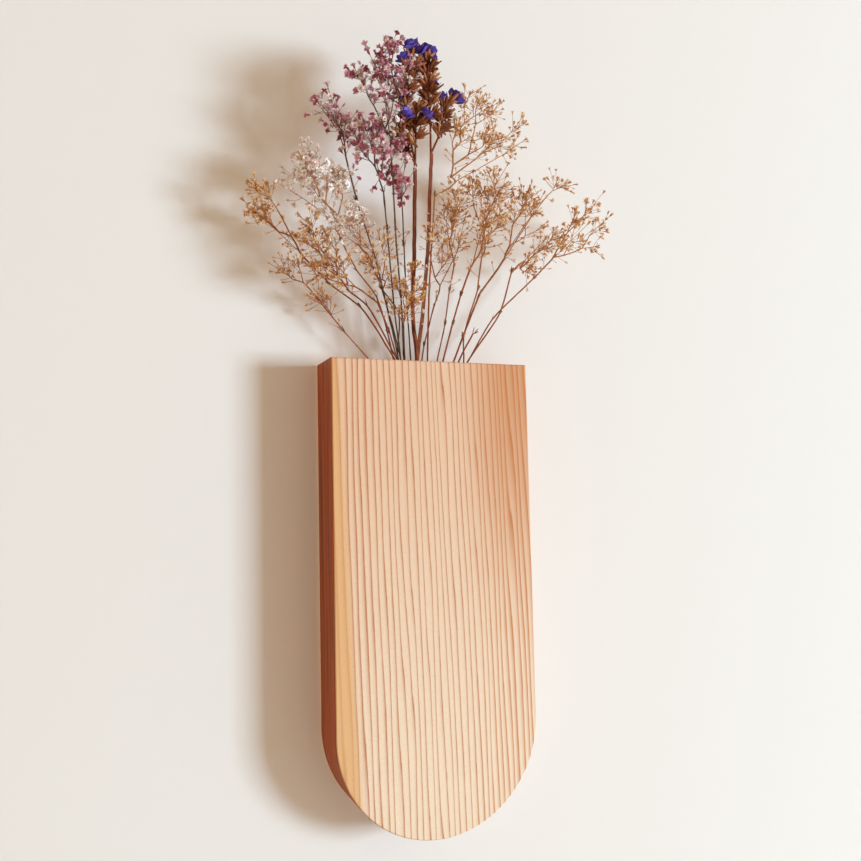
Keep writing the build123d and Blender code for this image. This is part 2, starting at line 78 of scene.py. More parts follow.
# The bunch is laid out in millimetres by the same rules and sizes as its solids.
vase_width = 113.0
vase_height = 250.0
board_thickness = 15.0
slot_width = 66.0
slot_thickness = 13.0
slot_depth = 150.0
hang_drop = 40.0
bunch_span = 100.0
foot_gap = 0.15
joint_gap = 0.02
bud_room = 2.5
plant_gap = 0.03
stem_tries = 40000
stray_limit_share = 0.06
lean_limit_share = 0.5
spray_tries = 80
wall_gap = 1.0
twig_radius = 0.26
fork_rise_share = 0.8
floret_spacing_share = 1.5
calyx_length = 6.0
calyx_mouth_radius = 1.5
spike_radius = 0.55
petal_radius = 3.0
petal_length = 3.2
petal_seat_gap = 0.1
spike_flower_share = 0.75

top_z = hang_drop
bottom_z = hang_drop - vase_height
middle_y = -board_thickness
slot_bottom_z = top_z - slot_depth
slot_half = slot_width / 2

# Each stem: its radius as a share of the bunch span, how deep it stands as a share of the slot's depth,
# then its way up from the mouth. A place is across, forward of the slot's middle plane, and up from the
# top edge, in shares of the bunch span.
stem_share = {
    "statice_tall": (0.0140, 0.98, ((-0.02, 0.03, 0.03), (-0.02, 0.05, 0.26), (0.0, 0.09, 0.57),
                                    (0.0, 0.19, 1.14))),
    "statice_short": (0.0140, 0.98, ((-0.04, -0.01, 0.03), (-0.04, 0.0, 0.27), (-0.05, 0.03, 0.55),
                                     (-0.08, 0.13, 1.09))),
    "right_h": (0.0095, 0.76, ((0.18, 0.0, 0.03), (0.24, 0.02, 0.17), (0.33, 0.06, 0.41))),
    "right_g": (0.0090, 0.93, ((0.11, 0.03, 0.03), (0.15, 0.07, 0.21), (0.18, 0.13, 0.37))),
    "left_b": (0.0085, 0.58, ((-0.19, -0.02, 0.03), (-0.35, -0.01, 0.31), (-0.52, 0.01, 0.41))),
    "left_a": (0.0060, 0.46, ((-0.30, -0.02, 0.03), (-0.44, -0.03, 0.17))),
    "left_c": (0.0080, 0.47, ((-0.17, 0.0, 0.03), (-0.35, 0.02, 0.30), (-0.44, 0.05, 0.38))),
    "right_k": (0.0080, 0.38, ((0.24, -0.02, 0.03), (0.49, 0.0, 0.30), (0.70, 0.05, 0.54))),
    "right_l": (0.0080, 0.34, ((0.22, 0.03, 0.03), (0.46, 0.07, 0.27), (0.54, 0.13, 0.49))),
    "upper_u": (0.0085, 0.98, ((0.05, -0.04, 0.03), (0.06, -0.03, 0.44), (0.09, 0.01, 0.97))),
    "dark_p": (0.0080, 0.62, ((-0.09, 0.03, 0.03), (-0.16, 0.09, 0.34), (-0.21, 0.17, 0.61), (-0.26, 0.27, 0.99))),
    "dark_o": (0.0070, 0.52, ((-0.10, 0.0, 0.03), (-0.18, 0.03, 0.30), (-0.26, 0.13, 0.69), (-0.28, 0.19, 0.88))),
    "dark_n": (0.0075, 0.70, ((-0.11, -0.03, 0.03), (-0.19, -0.02, 0.34), (-0.29, 0.05, 0.58), (-0.43, 0.13, 0.81))),
    "dark_m": (0.0065, 0.84, ((-0.06, -0.04, 0.03), (-0.08, -0.03, 0.37), (-0.10, 0.01, 0.67))),
    "left_d": (0.0070, 0.58, ((-0.15, 0.02, 0.03), (-0.21, 0.03, 0.19), (-0.32, 0.07, 0.32))),
    "left_e": (0.0075, 0.50, ((-0.13, -0.02, 0.03), (-0.24, -0.03, 0.36), (-0.38, -0.01, 0.52))),
    "middle_f": (0.0065, 0.74, ((-0.14, 0.04, 0.03), (-0.20, 0.07, 0.27), (-0.27, 0.11, 0.38))),
    "middle_g": (0.0065, 0.56, ((-0.12, 0.05, 0.03), (-0.25, 0.11, 0.42), (-0.34, 0.17, 0.55))),
    "middle_w": (0.0065, 0.44, ((-0.11, 0.05, 0.03), (-0.14, 0.09, 0.20))),
    "right_e": (0.0070, 0.80, ((0.01, -0.03, 0.03), (0.02, -0.03, 0.12), (0.08, -0.01, 0.34))),
    "right_f": (0.0070, 0.76, ((0.10, -0.01, 0.03), (0.13, 0.01, 0.22), (0.15, 0.05, 0.41))),
    "right_i": (0.0075, 0.88, ((0.24, -0.03, 0.03), (0.27, -0.04, 0.18), (0.37, -0.05, 0.46))),
    "cut_stub": (0.0085, 0.66, ((0.23, 0.03, 0.03), (0.29, 0.07, 0.19))),
}

# Each spray: the stem it grows from, floret radius, then its tufts.
# A tuft is a centre, its half width and half height as shares of the bunch span, and a floret count.
spray_share = {
    "dark_p": (0.021, ((-0.31, 0.31, 1.51, 0.15, 0.18, 23),)),
    "left_a": (0.013, ((-0.59, -0.01, 0.34, 0.09, 0.05, 4), (-0.74, -0.01, 0.51, 0.05, 0.08, 5))),
    "left_b": (0.016, ((-0.93, 0.07, 0.80, 0.09, 0.12, 13),)),
    "left_c": (0.015, ((-0.64, 0.13, 0.61, 0.12, 0.13, 14),)),
    "left_d": (0.014, ((-0.55, 0.19, 0.43, 0.13, 0.08, 9),)),
    "left_e": (0.019, ((-0.66, 0.15, 0.94, 0.19, 0.11, 18),)),
    "middle_f": (0.015, ((-0.32, 0.21, 0.52, 0.11, 0.13, 10),)),
    "middle_g": (0.017, ((-0.45, 0.25, 0.68, 0.10, 0.09, 10),)),
    "middle_w": (0.015, ((-0.18, 0.19, 0.38, 0.10, 0.15, 12),)),
    "dark_n": (0.018, ((-0.55, 0.21, 1.31, 0.11, 0.13, 10),)),
    "dark_o": (0.020, ((-0.34, 0.27, 1.16, 0.16, 0.14, 18),)),
    "dark_m": (0.019, ((-0.20, 0.25, 0.98, 0.06, 0.09, 7),)),
    "right_e": (0.014, ((0.05, 0.21, 0.65, 0.13, 0.09, 10),)),
    "right_f": (0.014, ((0.15, 0.24, 0.83, 0.13, 0.11, 13),)),
    "right_g": (0.014, ((0.34, 0.22, 0.80, 0.14, 0.12, 13),)),
    "right_i": (0.014, ((0.44, 0.08, 1.06, 0.18, 0.13, 16),)),
    "right_h": (0.014, ((0.66, 0.14, 0.90, 0.14, 0.14, 12), (0.85, 0.09, 1.11, 0.03, 0.03, 3))),
    "upper_u": (0.014, ((0.22, 0.13, 1.33, 0.08, 0.06, 6), (0.33, 0.15, 1.49, 0.16, 0.05, 9),
                        (0.48, 0.15, 1.31, 0.15, 0.14, 13))),
    "right_k": (0.016, ((1.05, 0.09, 0.86, 0.17, 0.15, 12),)),
    "right_l": (0.014, ((0.69, 0.07, 0.58, 0.05, 0.04, 3), (0.78, 0.14, 0.74, 0.10, 0.12, 8))),
}

# Each flower spike of the statice: its route from the stem's top, then its calyx and petal counts.
spike_share = {
    "statice_tall": (
        (((-0.02, 0.24, 1.34), (-0.04, 0.28, 1.50), (-0.06, 0.29, 1.64)), 13, 3),
        (((0.05, 0.21, 1.26), (0.08, 0.23, 1.41)), 6, 2),
    ),
    "statice_short": (
        (((-0.14, 0.22, 1.24), (-0.17, 0.27, 1.40), (-0.14, 0.30, 1.58)), 13, 4),
        (((-0.10, 0.22, 1.20), (-0.11, 0.26, 1.32)), 6, 1),
        (((-0.14, 0.20, 1.14), (-0.20, 0.26, 1.22)), 4, 1),
    ),
}


def add(a, b):
    return (a[0] + b[0], a[1] + b[1], a[2] + b[2])


def sub(a, b):
    return (a[0] - b[0], a[1] - b[1], a[2] - b[2])


def scaled(a, k):
    return (a[0] * k, a[1] * k, a[2] * k)


def dot(a, b):
    return a[0] * b[0] + a[1] * b[1] + a[2] * b[2]


def cross(a, b):
    return (a[1] * b[2] - a[2] * b[1], a[2] * b[0] - a[0] * b[2], a[0] * b[1] - a[1] * b[0])


def length_of(a):
    return sqrt(dot(a, a))


def unit(a):
    return scaled(a, 1 / length_of(a))


def frame_round(axis):
    """Two unit directions square to the axis and to each other."""
    side = cross(axis, (0, 1, 0))
    if length_of(side) < 1 / 10:
        side = cross(axis, (1, 0, 0))
    side = unit(side)
    return side, cross(axis, side)


def segment_gap(p, q, r, s):
    """Least distance between the straight pieces p-q and r-s."""
    d1 = sub(q, p)
    d2 = sub(s, r)
    w = sub(p, r)
    a = dot(d1, d1)
    e = dot(d2, d2)
    b = dot(d1, d2)
    c = dot(d1, w)
    f = dot(d2, w)
    den = a * e - b * b
    t = 0.0
    if a > 0 and den > 0:
        t = min(1.0, max(0.0, (b * f - c * e) / den))
    u = (b * t + f) / e if e > 0 else 0.0
    if u < 0 or u > 1:
        u = min(1.0, max(0.0, u))
        t = min(1.0, max(0.0, (b * u - c) / a)) if a > 0 else 0.0
    elif e == 0 and a > 0:
        t = min(1.0, max(0.0, -c / a))
    return length_of(sub(add(p, scaled(d1, t)), add(r, scaled(d2, u))))


class Bunch:
    """Every straight round piece placed so far, each with the plant that owns it."""

    def __init__(self):
        self.rods = []

    def put(self, owner, p, q, radius):
        low = tuple(min(p[i], q[i]) - radius for i in range(3))
        high = tuple(max(p[i], q[i]) + radius for i in range(3))
        self.rods.append((owner, p, q, radius, low, high))

    def free(self, owner, p, q, radius, beside=None):
        """True when a rod from p to q stays clear of every other plant's rods, but for one it stands on."""
        lowx = min(p[0], q[0]) - radius - plant_gap
        lowy = min(p[1], q[1]) - radius - plant_gap
        lowz = min(p[2], q[2]) - radius - plant_gap
        highx = max(p[0], q[0]) + radius + plant_gap
        highy = max(p[1], q[1]) + radius + plant_gap
        highz = max(p[2], q[2]) + radius + plant_gap
        for other, r, s, other_radius, low, high in self.rods:
            if low[0] > highx or high[0] < lowx or low[2] > highz or high[2] < lowz:
                continue
            if low[1] > highy or high[1] < lowy or other == owner or beside == (r, s):
                continue
            if segment_gap(p, q, r, s) < radius + other_radius + plant_gap:
                return False
        return True


def bunch_point(place):
    """A place in shares of the bunch span, measured from the middle of the slot's mouth."""
    return (place[0] * bunch_span, middle_y - place[1] * bunch_span, top_z + place[2] * bunch_span)


def foot_of(rim, lean, depth_share, radius):
    """Where a straight stem ends in the slot: held off the slot's sides and its round bottom."""
    z = top_z - slot_depth * depth_share + radius
    reach = slot_half - radius - foot_gap
    below_arc = max(0, slot_bottom_z + slot_half - z)
    side = sqrt(max(0, reach * reach - below_arc * below_arc))
    x = rim[0] + lean * (rim[2] - z)
    return (min(side, max(-side, x)), rim[1], z)


def route_stem(bunch, name):
    """A way for a stem that stays clear of every plant placed before it.
    The tries start at the wished way and stray from it little by little."""
    radius_share, depth_share, places = stem_share[name]
    radius = radius_share * bunch_span
    wish = [bunch_point(p) for p in places]
    room = slot_thickness / 2 - radius - foot_gap
    rim_reach = slot_half - radius - foot_gap
    lean = (wish[0][0] - wish[1][0]) / (wish[1][2] - wish[0][2])
    rng = Random(name)
    for attempt in range(stem_tries):
        stray_share = attempt / stem_tries
        play = bunch_span * stray_share * stray_limit_share
        rim_x = min(rim_reach, max(-rim_reach, wish[0][0] + rng.uniform(-1, 1) * play))
        rim = (rim_x, middle_y + rng.uniform(-1, 1) * room, wish[0][2])
        swayed = lean + rng.uniform(-1, 1) * stray_share * lean_limit_share
        end = foot_of(rim, swayed, depth_share, radius)
        foot = (end[0], middle_y + rng.uniform(-1, 1) * room, end[2])
        if not bunch.free(name, foot, rim, radius):
            continue
        path = [foot, rim]
        for p in wish[1:]:
            path.append((p[0] + rng.uniform(-1, 1) * play, p[1] + 2 * rng.uniform(-1, 1) * play,
                         p[2] + rng.uniform(-1, 1) * play))
        bud = add(path[-1], scaled(unit(sub(path[-1], path[-2])), bud_room))
        rods = list(zip(path[1:], path[2:] + [bud]))
        if all(bunch.free(name, p, q, radius) for p, q in rods):
            bunch.put(name, foot, rim, radius)
            for p, q in rods:
                bunch.put(name, p, q, radius)
            return path
    raise ValueError("no clear way for stem " + name)


def scatter(bunch, name, rng):
    """Florets spread through the tufts of one spray, clear of one another and of other plants."""
    floret_share, tufts = spray_share[name]
    radius = floret_share * bunch_span
    tips = []
    for x, forward, z, half_width, half_height, count in tufts:
        centre = bunch_point((x, forward, z))
        half_depth_share = (half_width + half_height) / 2
        made = 0
        for _ in range(count * 60):
            if made == count:
                break
            a, b, c = (rng.uniform(-1, 1) for _ in range(3))
            if a * a + b * b + c * c > 1:
                continue
            tip = add(centre, scaled((a * half_width, b * half_depth_share, c * half_height), bunch_span))
            if tip[1] > -wall_gap - radius:
                continue
            spaced = all(length_of(sub(tip, t)) > radius * floret_spacing_share for t in tips)
            if spaced and bunch.free(name, tip, tip, radius):
                tips.append(tip)
                made += 1
    return tips


def grow(tips, base, trunk_radius):
    """Join the nearest florets in pairs, again and again, down to the base.
    Gives twigs as (start, end, start radius, end radius, is tip)."""
    live = [(t, 1, None) for t in tips]
    twigs = []
    while len(live) > 1:
        best = None
        for i in range(len(live)):
            for j in range(i):
                p = live[i][0]
                q = live[j][0]
                near = (p[0] - q[0]) ** 2 + (p[1] - q[1]) ** 2 + (p[2] - q[2]) ** 2
                if best is None or near < best[0]:
                    best = (near, i, j)
        i, j = best[1], best[2]
        first = live.pop(i)
        second = live.pop(j)
        middle = scaled(add(first[0], second[0]), 1 / 2)
        down = sub(base, middle)
        spread = length_of(sub(first[0], second[0]))
        rise = min(spread * fork_rise_share + 2 * twig_radius, length_of(down) / 2)
        fork = add(middle, scaled(unit(down), rise))
        count = first[1] + second[1]
        size = min(twig_radius * sqrt(count), trunk_radius)
        for child in (first, second):
            end_size = min(twig_radius * sqrt(child[1]), trunk_radius)
            twigs.append((fork, child[0], min(size, 1.3 * end_size), end_size, child[2] is None))
        live.append((fork, count, True))
    end = live[0]
    end_size = min(twig_radius * sqrt(end[1]), trunk_radius)
    twigs.append((base, end[0], trunk_radius, end_size, end[2] is None))
    return twigs


def tips_above(twigs, place):
    """Every floret that grows from a place on the tree, or the place itself if it is a floret."""
    found = set()
    waiting = [place]
    while waiting:
        at = waiting.pop()
        onward = [t[1] for t in twigs if t[0] == at]
        waiting += onward
        if not onward:
            found.add(at)
    return found


def grow_spray(bunch, name, path):
    """A spray whose twigs and florets all stay clear of the other plants.
    Florets whose twigs meet a neighbour are left out when no scatter is clear as a whole."""
    radius = stem_share[name][0] * bunch_span
    floret_radius = spray_share[name][0] * bunch_span
    base = add(path[-1], scaled(unit(sub(path[-1], path[-2])), joint_gap))
    best = []
    for attempt in range(spray_tries):
        tips = scatter(bunch, name, Random(name + str(attempt)))
        wanted = len(tips)
        while len(tips) > max(len(best), 1):
            twigs = grow(tips, base, radius)
            bad = [t for t in twigs if not bunch.free(name, t[0], t[1], t[2])]
            if not bad:
                best = [t for t in tips]
                break
            lost = tips_above(twigs, min(bad, key=lambda t: t[3])[1])
            tips = [t for t in tips if t not in lost]
        if len(best) == wanted:
            break
    if len(best) < 2:
        raise ValueError("spray " + name + " meets its neighbours")
    twigs = grow(best, base, radius)
    for start, end, size, _, is_tip in twigs:
        bunch.put(name, start, end, size)
        if is_tip:
            bunch.put(name, end, end, floret_radius)
    return twigs


def spike_parts(bunch, name, top, index):
    """One flower spike of the statice: its route and its calyces in two rows."""
    places, calyx_count, _ = spike_share[name][index]
    rng = Random(name + str(index))
    route = [top] + [bunch_point(p) for p in places]
    spans = [length_of(sub(b, a)) for a, b in zip(route, route[1:])]
    total = sum(spans)
    calyces = []
    for k in range(calyx_count):
        along = total * (1 - (calyx_count - 1 - k) / calyx_count * spike_flower_share)
        i = 0
        while along > spans[i] and i < len(spans) - 1:
            along -= spans[i]
            i += 1
        way = unit(sub(route[i + 1], route[i]))
        root = add(route[i], scaled(way, min(along, spans[i])))
        side, front = frame_round(way)
        turn = (k % 2) * pi + rng.uniform(-0.9, 0.9)
        out = add(scaled(side, cos(turn)), scaled(front, sin(turn)))
        aim = unit(add(scaled(way, rng.uniform(0.9, 1.3)), out))
        calyces.append((root, add(root, scaled(aim, calyx_length))))
    for p, q in zip(route, route[1:]):
        bunch.put(name, p, q, spike_radius)
    for p, q in calyces:
        bunch.put(name, p, q, calyx_mouth_radius)
    return route, calyces


def spike_petals(bunch, name, index, calyces):
    """Petal cups on the calyces nearest the spike's tip, each as wide as its neighbours let it be."""
    petals = []
    for p, q in reversed(calyces):
        aim = unit(sub(q, p))
        start = add(q, scaled(aim, petal_seat_gap))
        middle = add(q, scaled(aim, petal_seat_gap + petal_length / 2))
        end = add(start, scaled(aim, petal_length))
        for size_share in (1, 0.85, 0.7, 0.55):
            radius = petal_radius * size_share
            if bunch.free(name + "_petals", middle, end, radius, (p, q)):
                petals.append((start, end, radius))
                bunch.put(name + "_petals" + str(len(petals)), middle, end, radius)
                break
        if len(petals) == spike_share[name][index][2]:
            break
    return petals


# Scene sizes, in metres
mm = 0.001
twig_sides = 5
stem_sides = 8
wing_count = 3
wing_inner_share = 0.55
knot_gap = 0.024
bend_step = knot_gap / 6
round_bend_share = 0.6
stem_taper_share = 0.12
stem_sway_share = 0.12
twig_sway_share = 0.35
spike_foot_share = 1.2
spike_sway_share = 0.1
knot_swell_share = 0.45
knot_length = 0.0016
fine_stem_share = 0.62
fine_twig_share = 0.62
tip_side_counts = {"tan": 6, "white": 6, "pink": 4}
fork_side_count = 2
side_twig_lengths = (0.0030, 0.0105)
side_twig_radius = 0.00011
side_fork_chance = 0.45
side_size_shares = (0.62, 1.0)
floret_swells = {"tan": 1.12, "white": 1.25, "pink": 1.2}
box_margin = 0.0012
dull_shine = 0.2
dark_bloom_chance = 0.3
dark_bloom_radius = 0.0021
bract_length = 0.0042
camera_place = (-0.1724, -0.4574, -0.03449)
camera_yaw = 0.37888
camera_pitch = 0.07989
camera_roll = -0.02171
camera_lens = 35.99
sensor_width = 36.0
key_distance = 4.6
key_off_normal = 50.5
key_drop = 0.04
key_target = (0, 0, 0.03)
rear_place = (0.9, 1.7, 0.7)
rear_size = 1.2
nearest_seen = 0.01
wall_gap_behind = 0.0006
wall_size = 5.0
floor_drop = 0.62
finest = 0.000001

white_sprays = ("left_e", "middle_g")
pink_sprays = ("dark_n", "dark_o", "dark_p", "dark_m")


def srgb(red, green, blue):
    """A colour as it shows on screen, 0 to 255, turned to the linear values that nodes take."""
    out = []
    for value in (red, green, blue):
        v = value / 255
        out.append(v / 12.92 if v <= 0.04045 else ((v + 0.055) / 1.055) ** 2.4)
    return tuple(out)


class Link:
    """One value or link in a node tree, with the sums that the finishes need."""

    def __init__(self, tree, socket):
        self.tree = tree
        self.socket = socket

    def sum(self, kind, *others):
        return self.tree.add("ShaderNodeMath", {"operation": kind}, (self,) + others)

    def __add__(self, other):
        return self.sum("ADD", other)

    def __radd__(self, other):
        return self.sum("ADD", other)

    def __sub__(self, other):
        return self.sum("SUBTRACT", other)

    def __rsub__(self, other):
        return self.tree.add("ShaderNodeMath", {"operation": "SUBTRACT"}, (other, self))

    def __mul__(self, other):
        return self.sum("MULTIPLY", other)

    def __rmul__(self, other):
        return self.sum("MULTIPLY", other)

    def __pow__(self, other):
        return self.sum("POWER", other)

    def ramp(self, low, high):
        """0 below low, 1 above high, smooth between; low may be the larger."""
        smooth = {"interpolation_type": "SMOOTHSTEP"}
        return self.tree.add("ShaderNodeMapRange", smooth, (self, low, high, 0.0, 1.0))


class Tree:
    """A node tree filled one node at a time."""

    def __init__(self, nodes, links):
        self.nodes = nodes
        self.links = links

    def node(self, kind, settings, inputs):
        made = self.nodes.new(kind)
        for name, value in settings.items():
            if name == "stops":
                self.stops(made.color_ramp, value)
            else:
                setattr(made, name, value)
        given = inputs.items() if isinstance(inputs, dict) else enumerate(inputs)
        for key, value in given:
            if value is None:
                continue
            socket = made.inputs[key]
            if isinstance(value, Link):
                self.links.new(value.socket, socket)
            else:
                socket.default_value = value
        return made

    def add(self, kind, settings, inputs, output=0):
        return Link(self, self.node(kind, settings, inputs).outputs[output])

    def stops(self, ramp, stops):
        while len(ramp.elements) < len(stops):
            ramp.elements.new(1)
        for element, (place, colour) in zip(ramp.elements, stops):
            element.position = place
            element.color = (*colour, 1)

    def mix(self, share, first, second):
        """A colour part of the way from first to second."""
        ends = [(*c, 1) if isinstance(c, tuple) else c for c in (first, second)]
        inputs = {0: share, 6: ends[0], 7: ends[1]}
        return self.add("ShaderNodeMix", {"data_type": "RGBA"}, inputs, 2)

    def noise(self, place, scale, detail=2.0):
        return self.add("ShaderNodeTexNoise", {}, {"Vector": place, "Scale": scale, "Detail": detail})

    def point(self, x, y, z):
        return self.add("ShaderNodeCombineXYZ", {}, (x, y, z))


def new_material(name):
    """An empty material, its tree and its Principled shader."""
    made = bpy.data.materials.new(name)
    made.use_nodes = True
    made.node_tree.nodes.clear()
    tree = Tree(made.node_tree.nodes, made.node_tree.links)
    shader = tree.node("ShaderNodeBsdfPrincipled", {}, {"Specular IOR Level": dull_shine})
    out = tree.node("ShaderNodeOutputMaterial", {}, {})
    tree.links.new(shader.outputs[0], out.inputs[0])
    return made, tree, shader


def object_place(tree):
    """The piece's own coordinates in millimetres: the point, then x, y and z."""
    place = tree.add("ShaderNodeTexCoord", {}, {}, 3)
    in_mm = {0: place, 3: 1 / mm}
    scaled_place = tree.add("ShaderNodeVectorMath", {"operation": "SCALE"}, in_mm)
    parts = tree.node("ShaderNodeSeparateXYZ", {}, (scaled_place,))
    return scaled_place, Link(tree, parts.outputs[0]), Link(tree, parts.outputs[1]), Link(tree, parts.outputs[2])


# Grain of the boards. Distances are in millimetres. A grain pair is how fast a noise changes across
# the fibres and along them.
slow_grain = (0.03, 0.004)
drift_grain = (0.13, 0.005)
ragged_grain = (1.6, 0.10)
streak_grain = (2.2, 0.045)
fibre_grain = (9.0, 0.16)
fleck_grain = (3.4, 0.7)
slow_shift = 6.0
drift_shift = 5.0
ragged_shift = 0.45
depth_lean = 0.004
ring_seed_step = 3.7
right_start, right_full = 8.0, 44.0
left_start, left_full = 20.0, 48.0
line_sharpness = 8.5
right_softening = 4.6
left_softening = 3.6
ring_softening = 2.5
line_swell = 1.15
after_line_width = 0.10
after_line_share = 0.45
low_end, high_end = -200.0, 40.0
warm_low, warm_high = -130.0, 30.0
warm_share = 0.7
streak_share = 0.25
band_lean = 0.042
band_start, band_full = 48.6, 54.4
band_share = 0.85
band_fade_share = 0.6
soft_line_share = 0.6
line_share = 0.62
ring_share = 0.35
fleck_low, fleck_high = 0.56, 0.74
fleck_share = 0.30
fibre_low, fibre_high = 0.35, 0.75
fibre_share = 0.10
edge_start, edge_full = 0.22, 0.12
edge_turn = 30.0
edge_streaks = (0.02, 0.42, 0.012)
edge_streak_low, edge_streak_high = 0.42, 0.66
edge_line_share = 0.35
# Painted shade: most of the dark edge tone goes to the left edge face, little to the other edges.
shaded_left_edge_share = 0.88
other_edge_share = 0.25
seam_inner, seam_outer = 0.08, 0.35
seam_share = 0.55
wood_roughness = 0.52
streak_roughness = 0.12
line_smoothness = 0.06
grain_bump_share = 0.6
line_bump_share = 0.4
grain_bump = 0.12
grain_bump_height = 0.0001


def stretched(tree, spot, grain, detail=2.0):
    """Noise drawn out along the fibres."""
    x, y, z = spot
    across, along = grain
    return tree.noise(tree.point(x * across, y * across, z * along), 1.0, detail)


def growth_rings(tree, spot, settings):
    """How far the wood at a spot is through its year, 0 to 1, and a number for that year's ring."""
    x, y, z = spot
    slow = stretched(tree, spot, slow_grain) - 0.5
    drift = stretched(tree, spot, drift_grain) - 0.5
    ragged = stretched(tree, spot, ragged_grain) - 0.5
    across = x + z * settings.lean + slow * slow_shift + drift * drift_shift + ragged * ragged_shift
    dx = across + settings.ring_reach * cos(settings.ring_angle)
    dy = y + z * depth_lean - settings.ring_reach * sin(settings.ring_angle)
    ring = (dx * dx + dy * dy) ** 0.5 * (1 / settings.ring_gap)
    which = tree.noise(tree.point(ring.sum("FLOOR") * ring_seed_step, 0.0, 0.0), 1.0)
    return ring.sum("FRACT"), which


def sawn_edge(tree, spot, face, late, settings):
    """The boards' edge faces: darker edge grain, with painted shade making the left edge face redder and darker,
    plus dark streaks and the glue seam.
    """
    x, y, z = spot
    below = (bottom_z + vase_width / 2 - z).sum("MAXIMUM", 0.0)
    rim_place = (x * x + below * below) ** 0.5
    edge = rim_place.ramp(vase_width / 2 - edge_start, vase_width / 2 - edge_full)
    # Painted shade: the left edge face, turned away from the key lamp, takes most of the dark edge tone.
    shaded_left_edge = edge * (0.0 - x).ramp(-edge_turn, edge_turn)
    cross, through, along = edge_streaks
    streaks = tree.noise(tree.point(x * cross, y * through, z * along), 1.0)
    dark = tuple(settings.edge_dark)
    tone = tree.mix(streaks.ramp(edge_streak_low, edge_streak_high), tuple(settings.edge), dark)
    tone = tree.mix(late * edge_line_share, tone, dark)
    seam = 1.0 - (y + board_thickness).sum("ABSOLUTE").ramp(seam_inner, seam_outer)
    # Painted shade on the left edge face; the other edges get only a little of the edge tone.
    face = tree.mix(shaded_left_edge * shaded_left_edge_share + edge * (1.0 - shaded_left_edge) * other_edge_share, face, tone)
    return tree.mix(seam * edge * seam_share, face, dark)


def wood_material(name, settings):
    """Straight-grained softwood: rings run through the block, so front, edge and ends agree."""
    made, tree, shader = new_material(name)
    _, x, y, z = object_place(tree)
    spot = (x, y, z)
    age, which = growth_rings(tree, spot, settings)
    right_side = x.ramp(right_start, right_full)
    left_side = (0.0 - x).ramp(left_start, left_full)
    softening = right_side * right_softening + left_side * left_softening + which * ring_softening
    late = age.sum("MAXIMUM", finest) ** (line_sharpness - softening)
    after_line = 1.0 - age.ramp(0.0, after_line_width)
    late = (late * line_swell + after_line * after_line_share).sum("MINIMUM", 1.0)
    streak = stretched(tree, spot, streak_grain, 3.0)
    fibre = stretched(tree, spot, fibre_grain)
    flecks = stretched(tree, spot, fleck_grain, 1.0).ramp(fleck_low, fleck_high)
    soft = tuple(settings.line_soft)
    pale = tree.mix(z.ramp(low_end, high_end), tuple(settings.pale_low), tuple(settings.pale_high))
    warm = right_side * z.ramp(warm_low, warm_high) * warm_share + streak * streak_share
    pale = tree.mix(warm, pale, tuple(settings.warm))
    band = (0.0 - (x + z * band_lean)).ramp(band_start, band_full)
    pale = tree.mix(band * band_share, pale, tuple(settings.band))
    line_colour = tree.mix(right_side * soft_line_share, tuple(settings.line), soft)
    strength = (line_share + which * ring_share + streak * streak_share) * (1.0 - band * band_fade_share)
    face = tree.mix(late * strength, pale, line_colour)
    face = tree.mix(flecks * (1.0 - right_side) * fleck_share, face, soft)
    face = tree.mix(fibre.ramp(fibre_low, fibre_high) * fibre_share, face, soft)
    # Edge faces: darker edge grain, and painted shade on the left edge face.
    face = sawn_edge(tree, spot, face, late, settings)
    tree.links.new(face.socket, shader.inputs["Base Color"])
    rough = wood_roughness + streak * streak_roughness - late * line_smoothness
    tree.links.new(rough.socket, shader.inputs["Roughness"])
    height = fibre * grain_bump_share + late * line_bump_share
    bumps = {"Strength": grain_bump, "Distance": grain_bump_height, "Height": height}
    grain = tree.node("ShaderNodeBump", {}, bumps)
    tree.links.new(grain.outputs[0], shader.inputs["Normal"])
    return made


# Finishes of the steel, the stalks and the petals
rolling_marks = (1.2, 0.08)
plating_spots = 0.5
dull_steel_share = 0.72
marks_share = 0.5
spots_share = 0.3
marks_roughness = 0.15
stalk_streaks = (1.1, 0.12)
stalk_mottle = 0.25
stalk_streak_low, stalk_streak_high = 0.35, 0.7
mottle_share = 0.25
tip_tint_low, tip_tint_high = 70.0, 150.0
tip_tint_share = 0.6
stalk_roughness = 0.72
petal_mottle = 1.4
petal_mottle_low, petal_mottle_high = 0.52, 0.78
petal_mottle_share = 0.22
heart_end, lip_start = 0.12, 0.62
heart_share = 0.6
petal_roughness = 0.85
wall_roughness = 0.92
floor_roughness = 0.9
plaster_grain = 0.35
plaster_bump = 0.06
plaster_bump_height = 0.0004


def steel_material(name, colour, rough):
    """Zinc-plated sheet with faint rolling marks."""
    made, tree, shader = new_material(name)
    place, x, y, z = object_place(tree)
    marks = stretched(tree, (x, y, z), rolling_marks, 3.0)
    spots = tree.noise(place, plating_spots, 3.0)
    dull = tuple(c * dull_steel_share for c in colour)
    tone = tree.mix(marks * marks_share + spots * spots_share, colour, dull)
    tree.links.new(tone.socket, shader.inputs["Base Color"])
    roughness = rough + marks * marks_roughness
    tree.links.new(roughness.socket, shader.inputs["Roughness"])
    shader.inputs["Metallic"].default_value = 1.0
    shader.inputs["Specular IOR Level"].default_value = 0.5
    return made


def plant_material(name, colour, dark, tip, streaky):
    """Dry stalk: dull, with long streaks, mottling and a paler top."""
    made, tree, shader = new_material(name)
    place, x, y, z = object_place(tree)
    streak = stretched(tree, (x, y, z), stalk_streaks, 3.0)
    mottle = tree.noise(place, stalk_mottle, 3.0)
    tone = tree.mix(streak.ramp(stalk_streak_low, stalk_streak_high) * streaky + mottle * mottle_share, colour, dark)
    tone = tree.mix(z.ramp(tip_tint_low, tip_tint_high) * tip_tint_share, tone, tip)
    tree.links.new(tone.socket, shader.inputs["Base Color"])
    shader.inputs["Roughness"].default_value = stalk_roughness
    return made


